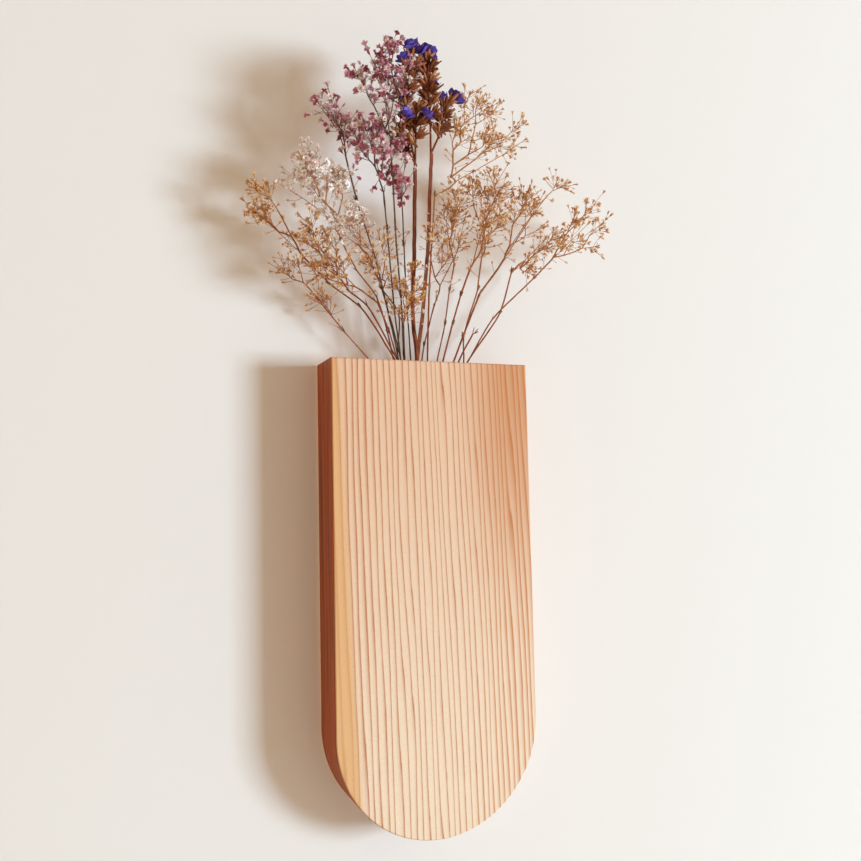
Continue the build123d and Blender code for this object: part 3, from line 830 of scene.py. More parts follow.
def floret_material(name, stops, heart):
    """Papery flower: each has its own tint, paler at its lip and darker in its heart."""
    made, tree, shader = new_material(name)
    place = object_place(tree)[0]
    tint = tree.add("ShaderNodeAttribute", {"attribute_name": "tint"}, {}, 2)
    lip = tree.add("ShaderNodeAttribute", {"attribute_name": "lip"}, {}, 2)
    tone = tree.add("ShaderNodeValToRGB", {"stops": stops}, (tint,))
    mottle = tree.noise(place, petal_mottle, 3.0)
    tone = tree.mix((1.0 - lip.ramp(heart_end, lip_start)) * heart_share, tone, heart)
    tone = tree.mix(mottle.ramp(petal_mottle_low, petal_mottle_high) * petal_mottle_share, tone, heart)
    tree.links.new(tone.socket, shader.inputs["Base Color"])
    shader.inputs["Roughness"].default_value = petal_roughness
    return made


# Each petal finish: its tints from the darkest to the palest, at shares of the range, then its heart.
# A tint of None is the colour that the settings give.
petal_tints = {
    "tan_florets": (((0.0, (180, 120, 66)), (0.3, (222, 170, 108)), (0.62, (246, 214, 166)),
                     (1.0, (254, 248, 230))), (174, 108, 56)),
    "white_florets": (((0.0, (218, 184, 150)), (0.3, (246, 222, 218)), (0.6, (252, 244, 236)),
                       (1.0, (254, 252, 248))), (178, 132, 98)),
    "pink_florets": (((0.0, (162, 82, 98)), (0.25, (210, 128, 150)), (0.5, (236, 192, 204)),
                      (1.0, (252, 246, 242))), (128, 78, 72)),
    "dry_cups": (((0.0, (104, 52, 28)), (0.5, None), (1.0, (192, 132, 88))), (84, 40, 24)),
    "violet_petals": (((0.0, (58, 42, 104)), (0.5, None), (1.0, (128, 108, 206))), (48, 34, 84)),
    "dry_leaves": (((0.0, (92, 62, 42)), (0.6, (150, 106, 70)), (1.0, (196, 156, 112))), (92, 60, 40)),
}


def tinted_petals(name, middle=None):
    """A petal finish from the table of tints."""
    tints, heart = petal_tints[name]
    stops = [(share, srgb(*tint) if tint else middle) for share, tint in tints]
    return floret_material(name, stops, srgb(*heart))


def mesh_object(name, points, faces, edges=()):
    data = bpy.data.meshes.new(name)
    data.from_pydata([tuple(p) for p in points], list(edges), [tuple(f) for f in faces])
    made = bpy.data.objects.new(name, data)
    bpy.context.scene.collection.objects.link(made)
    return made


def give_values(data, name, kind, values):
    layer = data.attributes.new(name, kind, "POINT")
    key = "vector" if kind == "FLOAT_VECTOR" else "value"
    for item, value in zip(layer.data, values):
        setattr(item, key, value)


def node_group(name, sockets):
    """A geometry tree with its named inputs, its input and output nodes, ready to fill."""
    group = bpy.data.node_groups.new(name, "GeometryNodeTree")
    group.interface.new_socket("Geometry", in_out="INPUT", socket_type="NodeSocketGeometry")
    for label, kind in sockets:
        group.interface.new_socket(label, in_out="INPUT", socket_type="NodeSocket" + kind)
    group.interface.new_socket("Geometry", in_out="OUTPUT", socket_type="NodeSocketGeometry")
    tree = Tree(group.nodes, group.links)
    start = tree.node("NodeGroupInput", {}, {})
    inputs = [Link(tree, s) for s in start.outputs[:-1]]
    return group, tree, inputs


def close_group(tree, geometry, material):
    """End a geometry tree: real mesh with its material."""
    whole = tree.add("GeometryNodeRealizeInstances", {}, (geometry,))
    dressed = tree.add("GeometryNodeSetMaterial", {}, {0: whole, "Material": material})
    tree.node("NodeGroupOutput", {}, (dressed,))


def tube_group(winged):
    """Round or winged stalks along bare edges, as thick as their points say."""
    sockets = [("Sides", "Int"), ("Material", "Material")]
    group, tree, inputs = node_group("winged_stalk" if winged else "round_stalk", sockets)
    curve = tree.add("GeometryNodeMeshToCurve", {}, (inputs[0],))
    thick = tree.add("GeometryNodeInputNamedAttribute", {"data_type": "FLOAT"}, {0: "thick"})
    if winged:
        profile = tree.add("GeometryNodeCurveStar", {}, (wing_count, wing_inner_share, 1.0, 0.0))
    else:
        profile = tree.add("GeometryNodeCurvePrimitiveCircle", {"mode": "RADIUS"}, {0: inputs[1], 4: 1.0})
    tube = tree.add("GeometryNodeCurveToMesh", {}, {0: curve, 1: profile, "Scale": thick, "Fill Caps": True})
    smooth = tree.add("GeometryNodeSetShadeSmooth", {}, {0: tube, "Shade Smooth": not winged})
    close_group(tree, smooth, inputs[2])
    return group


def scatter_group(forms):
    """Small forms set on points: each point says which form, which way, how turned and how large."""
    group, tree, inputs = node_group("set_on_points", [("Size", "Float"), ("Material", "Material")])
    aim = tree.add("GeometryNodeInputNamedAttribute", {"data_type": "FLOAT_VECTOR"}, {0: "aim"})
    turn = tree.add("GeometryNodeInputNamedAttribute", {"data_type": "FLOAT"}, {0: "turn"})
    size = tree.add("GeometryNodeInputNamedAttribute", {"data_type": "FLOAT"}, {0: "size"})
    kind = tree.add("GeometryNodeInputNamedAttribute", {"data_type": "INT"}, {0: "kind"})
    aimed = tree.add("FunctionNodeAlignRotationToVector", {"axis": "Z"}, {2: aim})
    spun = tree.add("FunctionNodeAxisAngleToRotation", {}, {0: (0.0, 0.0, 1.0), 1: turn})
    whole = tree.add("FunctionNodeRotateRotation", {"rotation_space": "LOCAL"}, (aimed, spun))
    large = tree.add("ShaderNodeMath", {"operation": "MULTIPLY"}, (size, inputs[1]))
    joined = tree.node("GeometryNodeJoinGeometry", {}, {})
    for i, form in enumerate(forms):
        chosen = tree.add("FunctionNodeCompare", {"data_type": "INT", "operation": "EQUAL"}, {2: kind, 3: i})
        shape = tree.node("GeometryNodeObjectInfo", {}, {0: form})
        placed = tree.node("GeometryNodeInstanceOnPoints", {}, {})
        group.links.new(inputs[0].socket, placed.inputs[0])
        group.links.new(chosen.socket, placed.inputs["Selection"])
        group.links.new(shape.outputs["Geometry"], placed.inputs["Instance"])
        group.links.new(whole.socket, placed.inputs["Rotation"])
        group.links.new(large.socket, placed.inputs["Scale"])
        group.links.new(placed.outputs[0], joined.inputs[0])
    close_group(tree, Link(tree, joined.outputs[0]), inputs[2])
    return group


def run_group(source, group, values):
    """Run a geometry tree on a source and keep the result as a plain mesh."""
    modifier = source.modifiers.new("made", "NODES")
    modifier.node_group = group
    for item in group.interface.items_tree:
        if item.item_type == "SOCKET" and item.in_out == "INPUT" and item.name in values:
            modifier[item.identifier] = values[item.name]
    graph = bpy.context.evaluated_depsgraph_get()
    data = bpy.data.meshes.new_from_object(source.evaluated_get(graph))
    old = source.data
    source.modifiers.remove(modifier)
    source.data = data
    bpy.data.meshes.remove(old)
    if not data.polygons:
        raise RuntimeError(source.name + " came out empty")
    return source


def set_in_bunch(piece, slot_name, *nodes):
    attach(piece, "bunch")
    if nodes:
        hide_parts(*nodes)


def bent_line(path, sizes, sway, rng):
    """Points along a path with rounded bends and a slight natural sway, and their thicknesses."""
    points = []
    thick = []
    for i in range(len(path) - 1):
        a = Vector(path[i])
        b = Vector(path[i + 1])
        steps = max(2, int((b - a).length / bend_step))
        before = Vector(path[i - 1]) if i else a * 2 - b
        after = Vector(path[i + 2]) if i + 2 < len(path) else b * 2 - a
        ease = (b - a).length
        start_way = ((b - a).normalized() + (a - before).normalized()).normalized() * ease
        end_way = ((after - b).normalized() + (b - a).normalized()).normalized() * ease
        for k in range(steps):
            t = k / steps
            curve = (a * (2 * t ** 3 - 3 * t ** 2 + 1) + start_way * (t ** 3 - 2 * t ** 2 + t)
                     + b * (3 * t ** 2 - 2 * t ** 3) + end_way * (t ** 3 - t ** 2))
            straight = a.lerp(b, t)
            off = Vector([rng.uniform(-1, 1) * sway for _ in range(3)]) if points else Vector()
            points.append(straight.lerp(curve, round_bend_share) + off)
            thick.append(sizes[i] + (sizes[i + 1] - sizes[i]) * t)
    points.append(Vector(path[-1]))
    thick.append(sizes[-1])
    return points, thick


def lines_object(name, lines):
    """Bare edges for the stalk trees: each line is its points and their thicknesses."""
    points = []
    edges = []
    thick = []
    for places, sizes in lines:
        first = len(points)
        points += places
        thick += sizes
        edges += [(first + i, first + i + 1) for i in range(len(places) - 1)]
    made = mesh_object(name, points, [], edges)
    give_values(made.data, "thick", "FLOAT", thick)
    return made


def closed_leaf(outline, centre, height, first):
    """A thin closed leaf: a ring of points with one point above and one below its middle."""
    count = len(outline)
    rim = [Vector(p) for p in outline]
    middle = Vector(centre)
    normal = Vector()
    for a, b in zip(rim, rim[1:] + rim[:1]):
        normal += (a - middle).cross(b - middle)
    normal.normalize()
    points = rim + [middle + normal * height, middle - normal * height]
    faces = []
    for i in range(count):
        j = (i + 1) % count
        faces.append((first + i, first + j, first + count))
        faces.append((first + j, first + i, first + count + 1))
    return points, faces


def petal_form(name, petals, cup, rng):
    """A small flower one unit wide: layers of crumpled petals round a pointed cup.
    petals lists (count, reach, rise, width, tilt noise) for each layer."""
    points = []
    faces = []
    lips = []
    ring_count = 5
    cup_rings = ((0.10, -1.0), (0.30, -0.55), (0.34, -0.15), (0.12, 0.08))
    for radius, height in cup_rings:
        for i in range(ring_count):
            angle = 2 * pi * i / ring_count
            points.append(Vector((radius * cup * cos(angle), radius * cup * sin(angle), height * cup)))
            lips.append(0.1)
    for k in range(len(cup_rings) - 1):
        for i in range(ring_count):
            j = (i + 1) % ring_count
            low = k * ring_count
            faces.append((low + i, low + j, low + ring_count + j, low + ring_count + i))
    faces.append(tuple(reversed(range(ring_count))))
    top = (len(cup_rings) - 1) * ring_count
    faces.append(tuple(top + i for i in range(ring_count)))
    for count, reach, rise, width, noise in petals:
        for k in range(count):
            angle = 2 * pi * (k + rng.uniform(-0.2, 0.2)) / count
            out = Vector((cos(angle), sin(angle), 0))
            side = Vector((-sin(angle), cos(angle), 0))
            up = Vector((0, 0, 1))
            far = reach * rng.uniform(0.8, 1.1)
            high = rise * rng.uniform(0.7, 1.2)
            half = width * rng.uniform(0.85, 1.15)
            wave = [rng.uniform(-noise, noise) for _ in range(4)]
            outline = [
                out * 0.06 - up * 0.05,
                out * far * 0.55 - side * half + up * (high * 0.5 + wave[0]),
                out * far - side * half * 0.55 + up * (high + wave[1]),
                out * far * 1.04 + side * half * 0.1 + up * (high * 0.9 + wave[3] * 0.6),
                out * far * 0.97 + side * half * 0.6 + up * (high + wave[2]),
                out * far * 0.55 + side * half + up * (high * 0.5 + wave[3]),
            ]
            centre = out * far * 0.6 + up * (high * 0.42 + wave[0] * 0.5)
            new_points, new_faces = closed_leaf(outline, centre, 0.05, len(points))
            points += new_points
            faces += new_faces
            lips += [0.15, 0.6, 1.0, 1.0, 1.0, 0.6, 0.5, 0.5]
    made = mesh_object(name, points, faces)
    give_values(made.data, "lip", "FLOAT", lips)
    made.hide_render = True
    made.hide_viewport = True
    return made


def points_object(name, items):
    """Loose points that the scatter tree reads: place, aim, turn, size, kind and tint."""
    made = mesh_object(name, [i[0] for i in items], [])
    give_values(made.data, "aim", "FLOAT_VECTOR", [i[1] for i in items])
    give_values(made.data, "turn", "FLOAT", [i[2] for i in items])
    give_values(made.data, "size", "FLOAT", [i[3] for i in items])
    give_values(made.data, "kind", "INT", [i[4] for i in items])
    give_values(made.data, "tint", "FLOAT", [i[5] for i in items])
    return made


def to_metres(place):
    return Vector(place) * mm


class Plan:
    """The bunch's layout, worked out once for all operators."""

    def __init__(self):
        self.bunch = Bunch()
        self.paths = {name: route_stem(self.bunch, name) for name in stem_share}
        self.spikes = {}
        for name in spike_share:
            top = self.paths[name][-1]
            count = len(spike_share[name])
            self.spikes[name] = [spike_parts(self.bunch, name, top, i) for i in range(count)]
        self.petals = {}
        for name in spike_share:
            made = self.spikes[name]
            self.petals[name] = []
            for i, (_, calyces) in enumerate(made):
                self.petals[name] += spike_petals(self.bunch, name, i, calyces)
        self.sprays = {name: grow_spray(self.bunch, name, self.paths[name]) for name in spray_share}

    def runs(self, name):
        """The spray's twigs strung into runs of places and radii, in metres."""
        path = self.paths[name]
        base = add(path[-1], scaled(unit(sub(path[-1], path[-2])), joint_gap))
        onward = {}
        for twig in self.sprays[name]:
            onward.setdefault(twig[0], []).append(twig)
        runs = []
        waiting = [([], onward[base][0])]
        while waiting:
            run, twig = waiting.pop()
            if not run:
                run = [(to_metres(twig[0]), twig[2] * mm)]
            run.append((to_metres(twig[1]), twig[3] * mm))
            if twig[4]:
                runs.append(run)
                continue
            first, second = sorted(onward[twig[1]], key=lambda t: -t[3])
            waiting.append((run, first))
            waiting.append(([], second))
        return runs


plan = Plan()


def palette(name):
    if name in pink_sprays:
        return "pink"
    if name in white_sprays:
        return "white"
    return "tan"


def stalk_family(name):
    if name.startswith("statice"):
        return "statice"
    if name.startswith("dark") or name.startswith("middle"):
        return "dark"
    return "tan"


class VaseWood(bpy.types.PropertyGroup):
    """Grain and colours of the two boards."""

    ring_gap: bpy.props.FloatProperty(name="Ring gap", description="Growth ring spacing in mm", default=2.95)
    ring_reach: bpy.props.FloatProperty(name="Ring reach", description="How far off the tree's heart lies, in mm",
                                        default=190.0)
    ring_angle: bpy.props.FloatProperty(name="Ring angle", description="Side to which the heart lies",
                                        default=radians(22), unit="ROTATION")
    lean: bpy.props.FloatProperty(name="Lean", description="Sideways run of the grain per unit of height",
                                  default=0.0314)
    pale_low: bpy.props.FloatVectorProperty(name="Pale, low", description="Early wood near the bottom",
                                            subtype="COLOR", default=srgb(249, 232, 206))
    pale_high: bpy.props.FloatVectorProperty(name="Pale, high", description="Early wood near the top",
                                             subtype="COLOR", default=srgb(236, 204, 174))
    warm: bpy.props.FloatVectorProperty(name="Warm", description="Warmer early wood at the right",
                                        subtype="COLOR", default=srgb(208, 150, 104))
    band: bpy.props.FloatVectorProperty(name="Band", description="Broad late wood at the left edge",
                                        subtype="COLOR", default=srgb(228, 178, 118))
    line: bpy.props.FloatVectorProperty(name="Line", description="Late wood lines", subtype="COLOR",
                                        default=srgb(182, 98, 38))
    line_soft: bpy.props.FloatVectorProperty(name="Soft line", description="Broader late wood at the right",
                                             subtype="COLOR", default=srgb(206, 124, 58))
    # Edge colours: partly the darker edge grain, partly painted shade, set dark and red for the left edge face that
    # the key lamp misses.
    edge: bpy.props.FloatVectorProperty(name="Edge", description="Edge face", subtype="COLOR",
                                        default=srgb(174, 64, 20))
    edge_dark: bpy.props.FloatVectorProperty(name="Dark edge", description="Dark streaks in the edge face",
                                             subtype="COLOR", default=srgb(110, 34, 10))


class BunchLook(bpy.types.PropertyGroup):
    """Fineness and colours of the dried bunch."""

    floret_size: bpy.props.FloatProperty(name="Floret size", description="Scale of each floret", default=1.0,
                                         min=0.2, max=2.0)
    calyx_size: bpy.props.FloatProperty(name="Calyx size", description="Scale of each statice calyx", default=1.25,
                                        min=0.2, max=2.0)
    tan_stalk: bpy.props.FloatVectorProperty(name="Tan stalk", description="Red-brown stems", subtype="COLOR",
                                             default=srgb(174, 100, 56))
    dark_stalk: bpy.props.FloatVectorProperty(name="Dark stalk", description="Grey-brown stems", subtype="COLOR",
                                              default=srgb(104, 82, 62))
    statice_stalk: bpy.props.FloatVectorProperty(name="Statice stalk", description="Winged stems",
                                                 subtype="COLOR", default=srgb(152, 80, 44))
    calyx: bpy.props.FloatVectorProperty(name="Calyx", description="Papery statice cups", subtype="COLOR",
                                         default=srgb(146, 82, 48))
    violet: bpy.props.FloatVectorProperty(name="Violet", description="Statice petals", subtype="COLOR",
                                          default=srgb(92, 72, 168))


class StageLook(bpy.types.PropertyGroup):
    """Wall, floor and lamps."""

    wall: bpy.props.FloatVectorProperty(name="Wall", description="Wall colour", subtype="COLOR",
                                        default=srgb(236, 233, 228))
    floor: bpy.props.FloatVectorProperty(name="Floor", description="Floor colour", subtype="COLOR",
                                         default=srgb(228, 225, 220))
    key_power: bpy.props.FloatProperty(name="Key power", description="Main lamp", default=218.0, unit="POWER")
    key_size: bpy.props.FloatProperty(name="Key size", description="Width of the main lamp", default=1.1,
                                      unit="LENGTH")
    rear_power: bpy.props.FloatProperty(name="Rear power", description="Soft lamp behind the wall", default=30.0,
                                        unit="POWER")
    sky: bpy.props.FloatProperty(name="Sky", description="Even light from all round", default=0.55)


class VASE_OT_finish_boards(bpy.types.Operator):
    """Give both boards their wood"""

    bl_idname = "vase.finish_boards"
    bl_label = "Finish the boards"

    def execute(self, context):
        wood = wood_material("straight_grain", context.scene.vase_wood)
        for name in ("front_board", "back_board"):
            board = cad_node(name)
            board.data.materials.clear()
            board.data.materials.append(wood)
        return {"FINISHED"}


class VASE_OT_finish_hanger(bpy.types.Operator):
    """Give the keyhole plate and its screws their plated steel"""

    bl_idname = "vase.finish_hanger"
    bl_label = "Finish the hanging plate"

    def execute(self, context):
        plate = steel_material("plated_sheet", srgb(196, 194, 188), 0.34)
        screw = steel_material("plated_screw", srgb(186, 176, 148), 0.30)
        for name, material in (("hanger_plate", plate), ("hanger_screws", screw)):
            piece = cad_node(name)
            piece.data.materials.clear()
            piece.data.materials.append(material)
        return {"FINISHED"}


class VASE_OT_grow_stems(bpy.types.Operator):
    """Grow every separate stem of the bunch"""

    bl_idname = "vase.grow_stems"
    bl_label = "Grow the stems"

    def execute(self, context):
        look = context.scene.vase_bunch
        materials = stalk_materials(look)
        trees = {False: tube_group(False), True: tube_group(True)}
        for name, path in plan.paths.items():
            rng = Random("stem " + name)
            radius = stem_share[name][0] * bunch_span * mm
            family = stalk_family(name)
            winged = family == "statice"
            if not winged:
                radius *= fine_stem_share
            places = [to_metres(p) for p in path]
            sizes = [radius * (1.0 - stem_taper_share * i / (len(path) - 1)) for i in range(len(path))]
            points, thick = bent_line(places, sizes, radius * stem_sway_share, rng)
            if not winged:
                thick = swollen(points, thick, rng)
            made = lines_object("stalk_" + name, [(points, thick)])
            run_group(made, trees[winged], {"Sides": stem_sides, "Material": materials[family]})
            set_in_bunch(made, family + "_stem", "stem_" + name)
        return {"FINISHED"}


class VASE_OT_grow_twigs(bpy.types.Operator):
    """Grow the fine twigs of every spray"""

    bl_idname = "vase.grow_twigs"
    bl_label = "Grow the twigs"

    def execute(self, context):
        look = context.scene.vase_bunch
        materials = stalk_materials(look)
        tree = tube_group(False)
        for name in plan.sprays:
            rng = Random("twigs " + name)
            lines = []
            for run in plan.runs(name):
                places = [p for p, _ in run]
                sizes = [r * fine_twig_share for _, r in run]
                points, thick = bent_line(places, sizes, twig_radius * mm * twig_sway_share, rng)
                lines.append((points, thick))
            for places, _, _, _ in side_twigs(name):
                lines.append((places, [side_twig_radius] * len(places)))
            family = "dark" if name.startswith("dark") else "tan"
            made = lines_object("twigs_" + name, lines)
            run_group(made, tree, {"Sides": twig_sides, "Material": materials[family]})
            set_in_bunch(made, family + "_stem", "spray_" + name)
        return {"FINISHED"}


class VASE_OT_grow_florets(bpy.types.Operator):
    """Set a floret on every twig tip"""

    bl_idname = "vase.grow_florets"
    bl_label = "Set the florets"

    def execute(self, context):
        look = context.scene.vase_bunch
        rng = Random("floret forms")
        forms = [
            petal_form("form_full", ((6, 0.95, 0.20, 0.42, 0.18), (5, 0.60, 0.50, 0.34, 0.16)), 0.9, rng),
            petal_form("form_half", ((5, 0.80, 0.62, 0.34, 0.14), (4, 0.45, 0.75, 0.26, 0.12)), 0.9, rng),
            petal_form("form_star", ((5, 0.98, 0.30, 0.22, 0.20), (4, 0.50, 0.62, 0.20, 0.14)), 1.0, rng),
            petal_form("form_bud", ((4, 0.42, 0.50, 0.22, 0.06),), 1.0, rng),
        ]
        tree = scatter_group(forms)
        materials = {kind: tinted_petals(kind + "_florets") for kind in ("tan", "white", "pink")}
        for name in plan.sprays:
            rng = Random("florets " + name)
            kind = palette(name)
            size = spray_share[name][0] * bunch_span * mm * floret_swells[kind]
            items = []
            for start, end, _, _, is_tip in plan.sprays[name]:
                if is_tip:
                    aim = (to_metres(end) - to_metres(start)).normalized()
                    items.append(floret_item(to_metres(end), aim, size, kind, rng))
            for _, place, aim, share in side_twigs(name):
                items.append(floret_item(place, aim, size * share, kind, rng))
            made = points_object("florets_" + name, items)
            run_group(made, tree, {"Size": look.floret_size, "Material": materials[kind]})
            set_in_bunch(made, kind + "_floret", "spray_" + name)
        for form in forms:
            bpy.data.objects.remove(form)
        return {"FINISHED"}


class VASE_OT_grow_statice(bpy.types.Operator):
    """Grow the statice's spikes, papery cups and violet petals"""

    bl_idname = "vase.grow_statice"
    bl_label = "Grow the statice heads"

    def execute(self, context):
        look = context.scene.vase_bunch
        rng = Random("statice forms")
        cup = petal_form("form_cup", ((5, 0.50, 1.05, 0.13, 0.07), (4, 0.26, 1.10, 0.11, 0.06)), 0.40, rng)
        scale_leaf = petal_form("form_scale", ((3, 0.22, 0.85, 0.16, 0.05),), 0.5, rng)
        violet = petal_form("form_violet", ((6, 0.90, 0.55, 0.52, 0.16), (5, 0.55, 0.80, 0.40, 0.16)), 0.8, rng)
        tree = scatter_group([cup, scale_leaf, violet])
        brown = tinted_petals("dry_cups", tuple(look.calyx))
        purple = tinted_petals("violet_petals", tuple(look.violet))
        stalks = stalk_materials(look)
        tubes = tube_group(False)
        for name, made_spikes in plan.spikes.items():
            rng = Random("cups " + name)
            lines = []
            items = []
            for route, calyces in made_spikes:
                places = [to_metres(p) for p in route]
                radius = spike_radius * mm
                sizes = [radius * spike_foot_share] + [radius] * (len(places) - 1)
                points, thick = bent_line(places, sizes, radius * spike_sway_share, rng)
                lines.append((points, thick))
                for p, q in calyces:
                    items += cup_items(to_metres(p), to_metres(q), rng)
            spike = lines_object("spikelines_" + name, lines)
            run_group(spike, tubes, {"Sides": twig_sides, "Material": stalks["statice"]})
            set_in_bunch(spike, "dry_calyx", "spikes_" + name)
            cups = points_object("cups_" + name, items)
            run_group(cups, tree, {"Size": look.calyx_size, "Material": brown})
            set_in_bunch(cups, "dry_calyx", "spikes_" + name)
            blooms = []
            for _, calyces in made_spikes:
                for p, q in calyces:
                    if rng.random() < dark_bloom_chance:
                        aim = (to_metres(q) - to_metres(p)).normalized()
                        blooms.append((to_metres(q), aim, rng.uniform(0, 2 * pi), dark_bloom_radius, 2,
                                       rng.uniform(0.0, 0.4)))
            for start, end, radius in plan.petals[name]:
                aim = (to_metres(end) - to_metres(start)).normalized()
                blooms.append((to_metres(start) + aim * mm * 0.8, aim, rng.uniform(0, 2 * pi), radius * mm * 1.8, 2,
                               rng.uniform(0.25, 1.0)))
            petals = points_object("blooms_" + name, blooms)
            run_group(petals, tree, {"Size": 1.0, "Material": purple})
            set_in_bunch(petals, "violet_petals", "petals_" + name)
        for form in (cup, scale_leaf, violet):
            bpy.data.objects.remove(form)
        return {"FINISHED"}


class VASE_OT_grow_bracts(bpy.types.Operator):
    """Set small dry leaves at the stems' joints"""

    bl_idname = "vase.grow_bracts"
    bl_label = "Set the small leaves"

    def execute(self, context):
        rng = Random("leaf forms")
        leaf = petal_form("form_leaf", ((2, 0.30, 1.00, 0.13, 0.06),), 0.3, rng)
        curled = petal_form("form_curled", ((1, 0.75, 0.70, 0.20, 0.25), (1, 0.35, 0.90, 0.12, 0.15)), 0.3, rng)
        tree = scatter_group([leaf, curled])
        dry = tinted_petals("dry_leaves")
        items = []
        for name, path in plan.paths.items():
            if name.startswith("statice"):
                continue
            for i in range(2, len(path)):
                aim = (to_metres(path[i]) - to_metres(path[i - 1])).normalized()
                for _ in range(2):
                    place = to_metres(path[i]) - aim * rng.uniform(0, 1.0) * mm
                    items.append((place, aim, rng.uniform(0, 2 * pi), bract_length * rng.uniform(0.5, 1.0),
                                  0 if rng.random() < 0.8 else 1, rng.random()))
        made = points_object("small_leaves", items)
        run_group(made, tree, {"Size": 1.0, "Material": dry})
        set_in_bunch(made, "tan_stem")
        for form in (leaf, curled):
            bpy.data.objects.remove(form)
        return {"FINISHED"}


class VASE_OT_build_stage(bpy.types.Operator):
    """Wall, floor, lamps and camera"""

    bl_idname = "vase.build_stage"
    bl_label = "Build the stage"

    def execute(self, context):
        look = context.scene.vase_stage
        wall = plane_object("wall", wall_size, (0, wall_gap_behind, 0), (pi / 2, 0, 0))
        wall.data.materials.append(wall_material(tuple(look.wall)))
        floor = plane_object("floor", wall_size, (0, 0, -floor_drop), (0, 0, 0))
        floor.data.materials.append(plain_material("pale_floor", tuple(look.floor)))
        key = lamp_object("key", look.key_power, look.key_size, srgb(210, 236, 255))
        angle = radians(key_off_normal)
        aim_lamp(key, Vector((sin(angle), -cos(angle), -key_drop)) * key_distance, Vector(key_target))
        rear = lamp_object("rear", look.rear_power, rear_size, srgb(255, 252, 246))
        aim_lamp(rear, Vector(rear_place), Vector())
        set_world(context.scene, look.sky)
        context.scene.camera = fitted_camera()
        context.scene.view_settings.view_transform = "Standard"
        return {"FINISHED"}


class VASE_PT_panel(bpy.types.Panel):
    """Buttons for every group of pieces"""

    bl_label = "Wall vase"
    bl_idname = "VASE_PT_panel"
    bl_space_type = "VIEW_3D"
    bl_region_type = "UI"
    bl_category = "Wall vase"

    def draw(self, context):
        for step in steps:
            self.layout.operator(step.bl_idname)


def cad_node(name):
    """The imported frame's own object for a node."""
    for piece in bpy.data.objects:
        if piece.name == name and piece.type == "MESH":
            return piece
    raise RuntimeError("the frame has no node " + name)


# Each kind of stalk: its dark streaks, its paler top and how strongly it is streaked
stalk_tints = {
    "tan": ((112, 58, 32), (208, 152, 92), 0.7),
    "dark": ((56, 40, 32), (122, 96, 76), 0.8),
    "statice": ((84, 36, 18), (130, 66, 38), 0.9),
}


def stalk_materials(look):
    if "tan_stalk" not in bpy.data.materials:
        for family, (dark, tip, streaky) in stalk_tints.items():
            colour = tuple(getattr(look, family + "_stalk"))
            plant_material(family + "_stalk", colour, srgb(*dark), srgb(*tip), streaky)
    return {family: bpy.data.materials[family + "_stalk"] for family in ("tan", "dark", "statice")}


def swollen(points, thick, rng):
    """Thicker knots at uneven gaps along a stem."""
    out = []
    travelled = 0.0
    next_knot = knot_gap * rng.uniform(0.4, 1.0)
    for i, size in enumerate(thick):
        if i:
            travelled += (points[i] - points[i - 1]).length
        near = abs(travelled - next_knot)
        swell = max(0.0, 1.0 - near / knot_length) * knot_swell_share
        if travelled > next_knot + knot_length:
            next_knot += knot_gap * rng.uniform(0.7, 1.4)
        out.append(size * (1 + swell))
    return out


def side_twigs(name):
    """Hair-thin side twigs that fill the spray out: their points, end, way and floret size share."""
    rng = Random("side twigs " + name)
    found = []
    for start, end, _, _, is_tip in plan.sprays[name]:
        a = to_metres(start)
        b = to_metres(end)
        way = (b - a).normalized()
        for _ in range(tip_side_counts[palette(name)] if is_tip else fork_side_count):
            side = Vector([rng.uniform(-1, 1) for _ in range(3)])
            side = (side - way * side.dot(way)).normalized()
            aim = (way * rng.uniform(0.15, 1.0) + side * rng.uniform(0.5, 1.0)).normalized()
            length = rng.uniform(*side_twig_lengths)
            place = a.lerp(b, rng.uniform(0.1, 0.9))
            middle = place + aim * length * 0.5
            bent = (aim + way * rng.uniform(0, 0.6)).normalized()
            last = middle + bent * length * 0.5
            if inside_cad(last):
                found.append(([place, middle, last], last, bent, rng.uniform(*side_size_shares)))
            if rng.random() < side_fork_chance:
                turned = (aim + Vector([rng.uniform(-0.8, 0.8) for _ in range(3)])).normalized()
                last = middle + turned * length * 0.4
                if inside_cad(last):
                    found.append(([middle, last], last, turned, side_size_shares[0]))
    return found


def inside_cad(place):
    low, high = cad_box
    return all(low[i] + box_margin <= place[i] <= high[i] - box_margin for i in range(3))


def floret_item(place, aim, size, kind, rng):
    """One floret for the scatter tree, with a form and tint that suit its palette."""
    draw = rng.random()
    if kind == "tan":
        form = 2 if draw < 0.5 else (3 if draw < 0.8 else 1)
        tint = rng.betavariate(1.3, 1.3)
    elif kind == "white":
        form = 0 if draw < 0.6 else (1 if draw < 0.85 else 3)
        tint = rng.betavariate(2.0, 1.0)
    else:
        form = 0 if draw < 0.55 else (1 if draw < 0.85 else 3)
        tint = rng.choice((rng.uniform(0.0, 0.25), rng.uniform(0.25, 0.6), rng.uniform(0.7, 1.0)))
    return (place, aim, rng.uniform(0, 2 * pi), size * rng.uniform(0.9, 1.12), form, tint)


def cup_items(start, end, rng):
    """A papery cup on its calyx place, with small scales at its foot."""
    aim = (end - start).normalized()
    length = (end - start).length
    out = [(start + aim * length * 0.25, aim, rng.uniform(0, 2 * pi), length * 0.95, 0, rng.uniform(0.1, 1.0))]
    for _ in range(3):
        side = Vector([rng.uniform(-1, 1) for _ in range(3)])
        lean = (aim + side * 0.6).normalized()
        out.append((start + aim * length * 0.1, lean, rng.uniform(0, 2 * pi), length * rng.uniform(0.5, 0.75), 0,
                    rng.uniform(0.0, 0.8)))
    out.append((start, aim, rng.uniform(0, 2 * pi), length * 0.5, 1, rng.uniform(0.0, 0.6)))
    return out


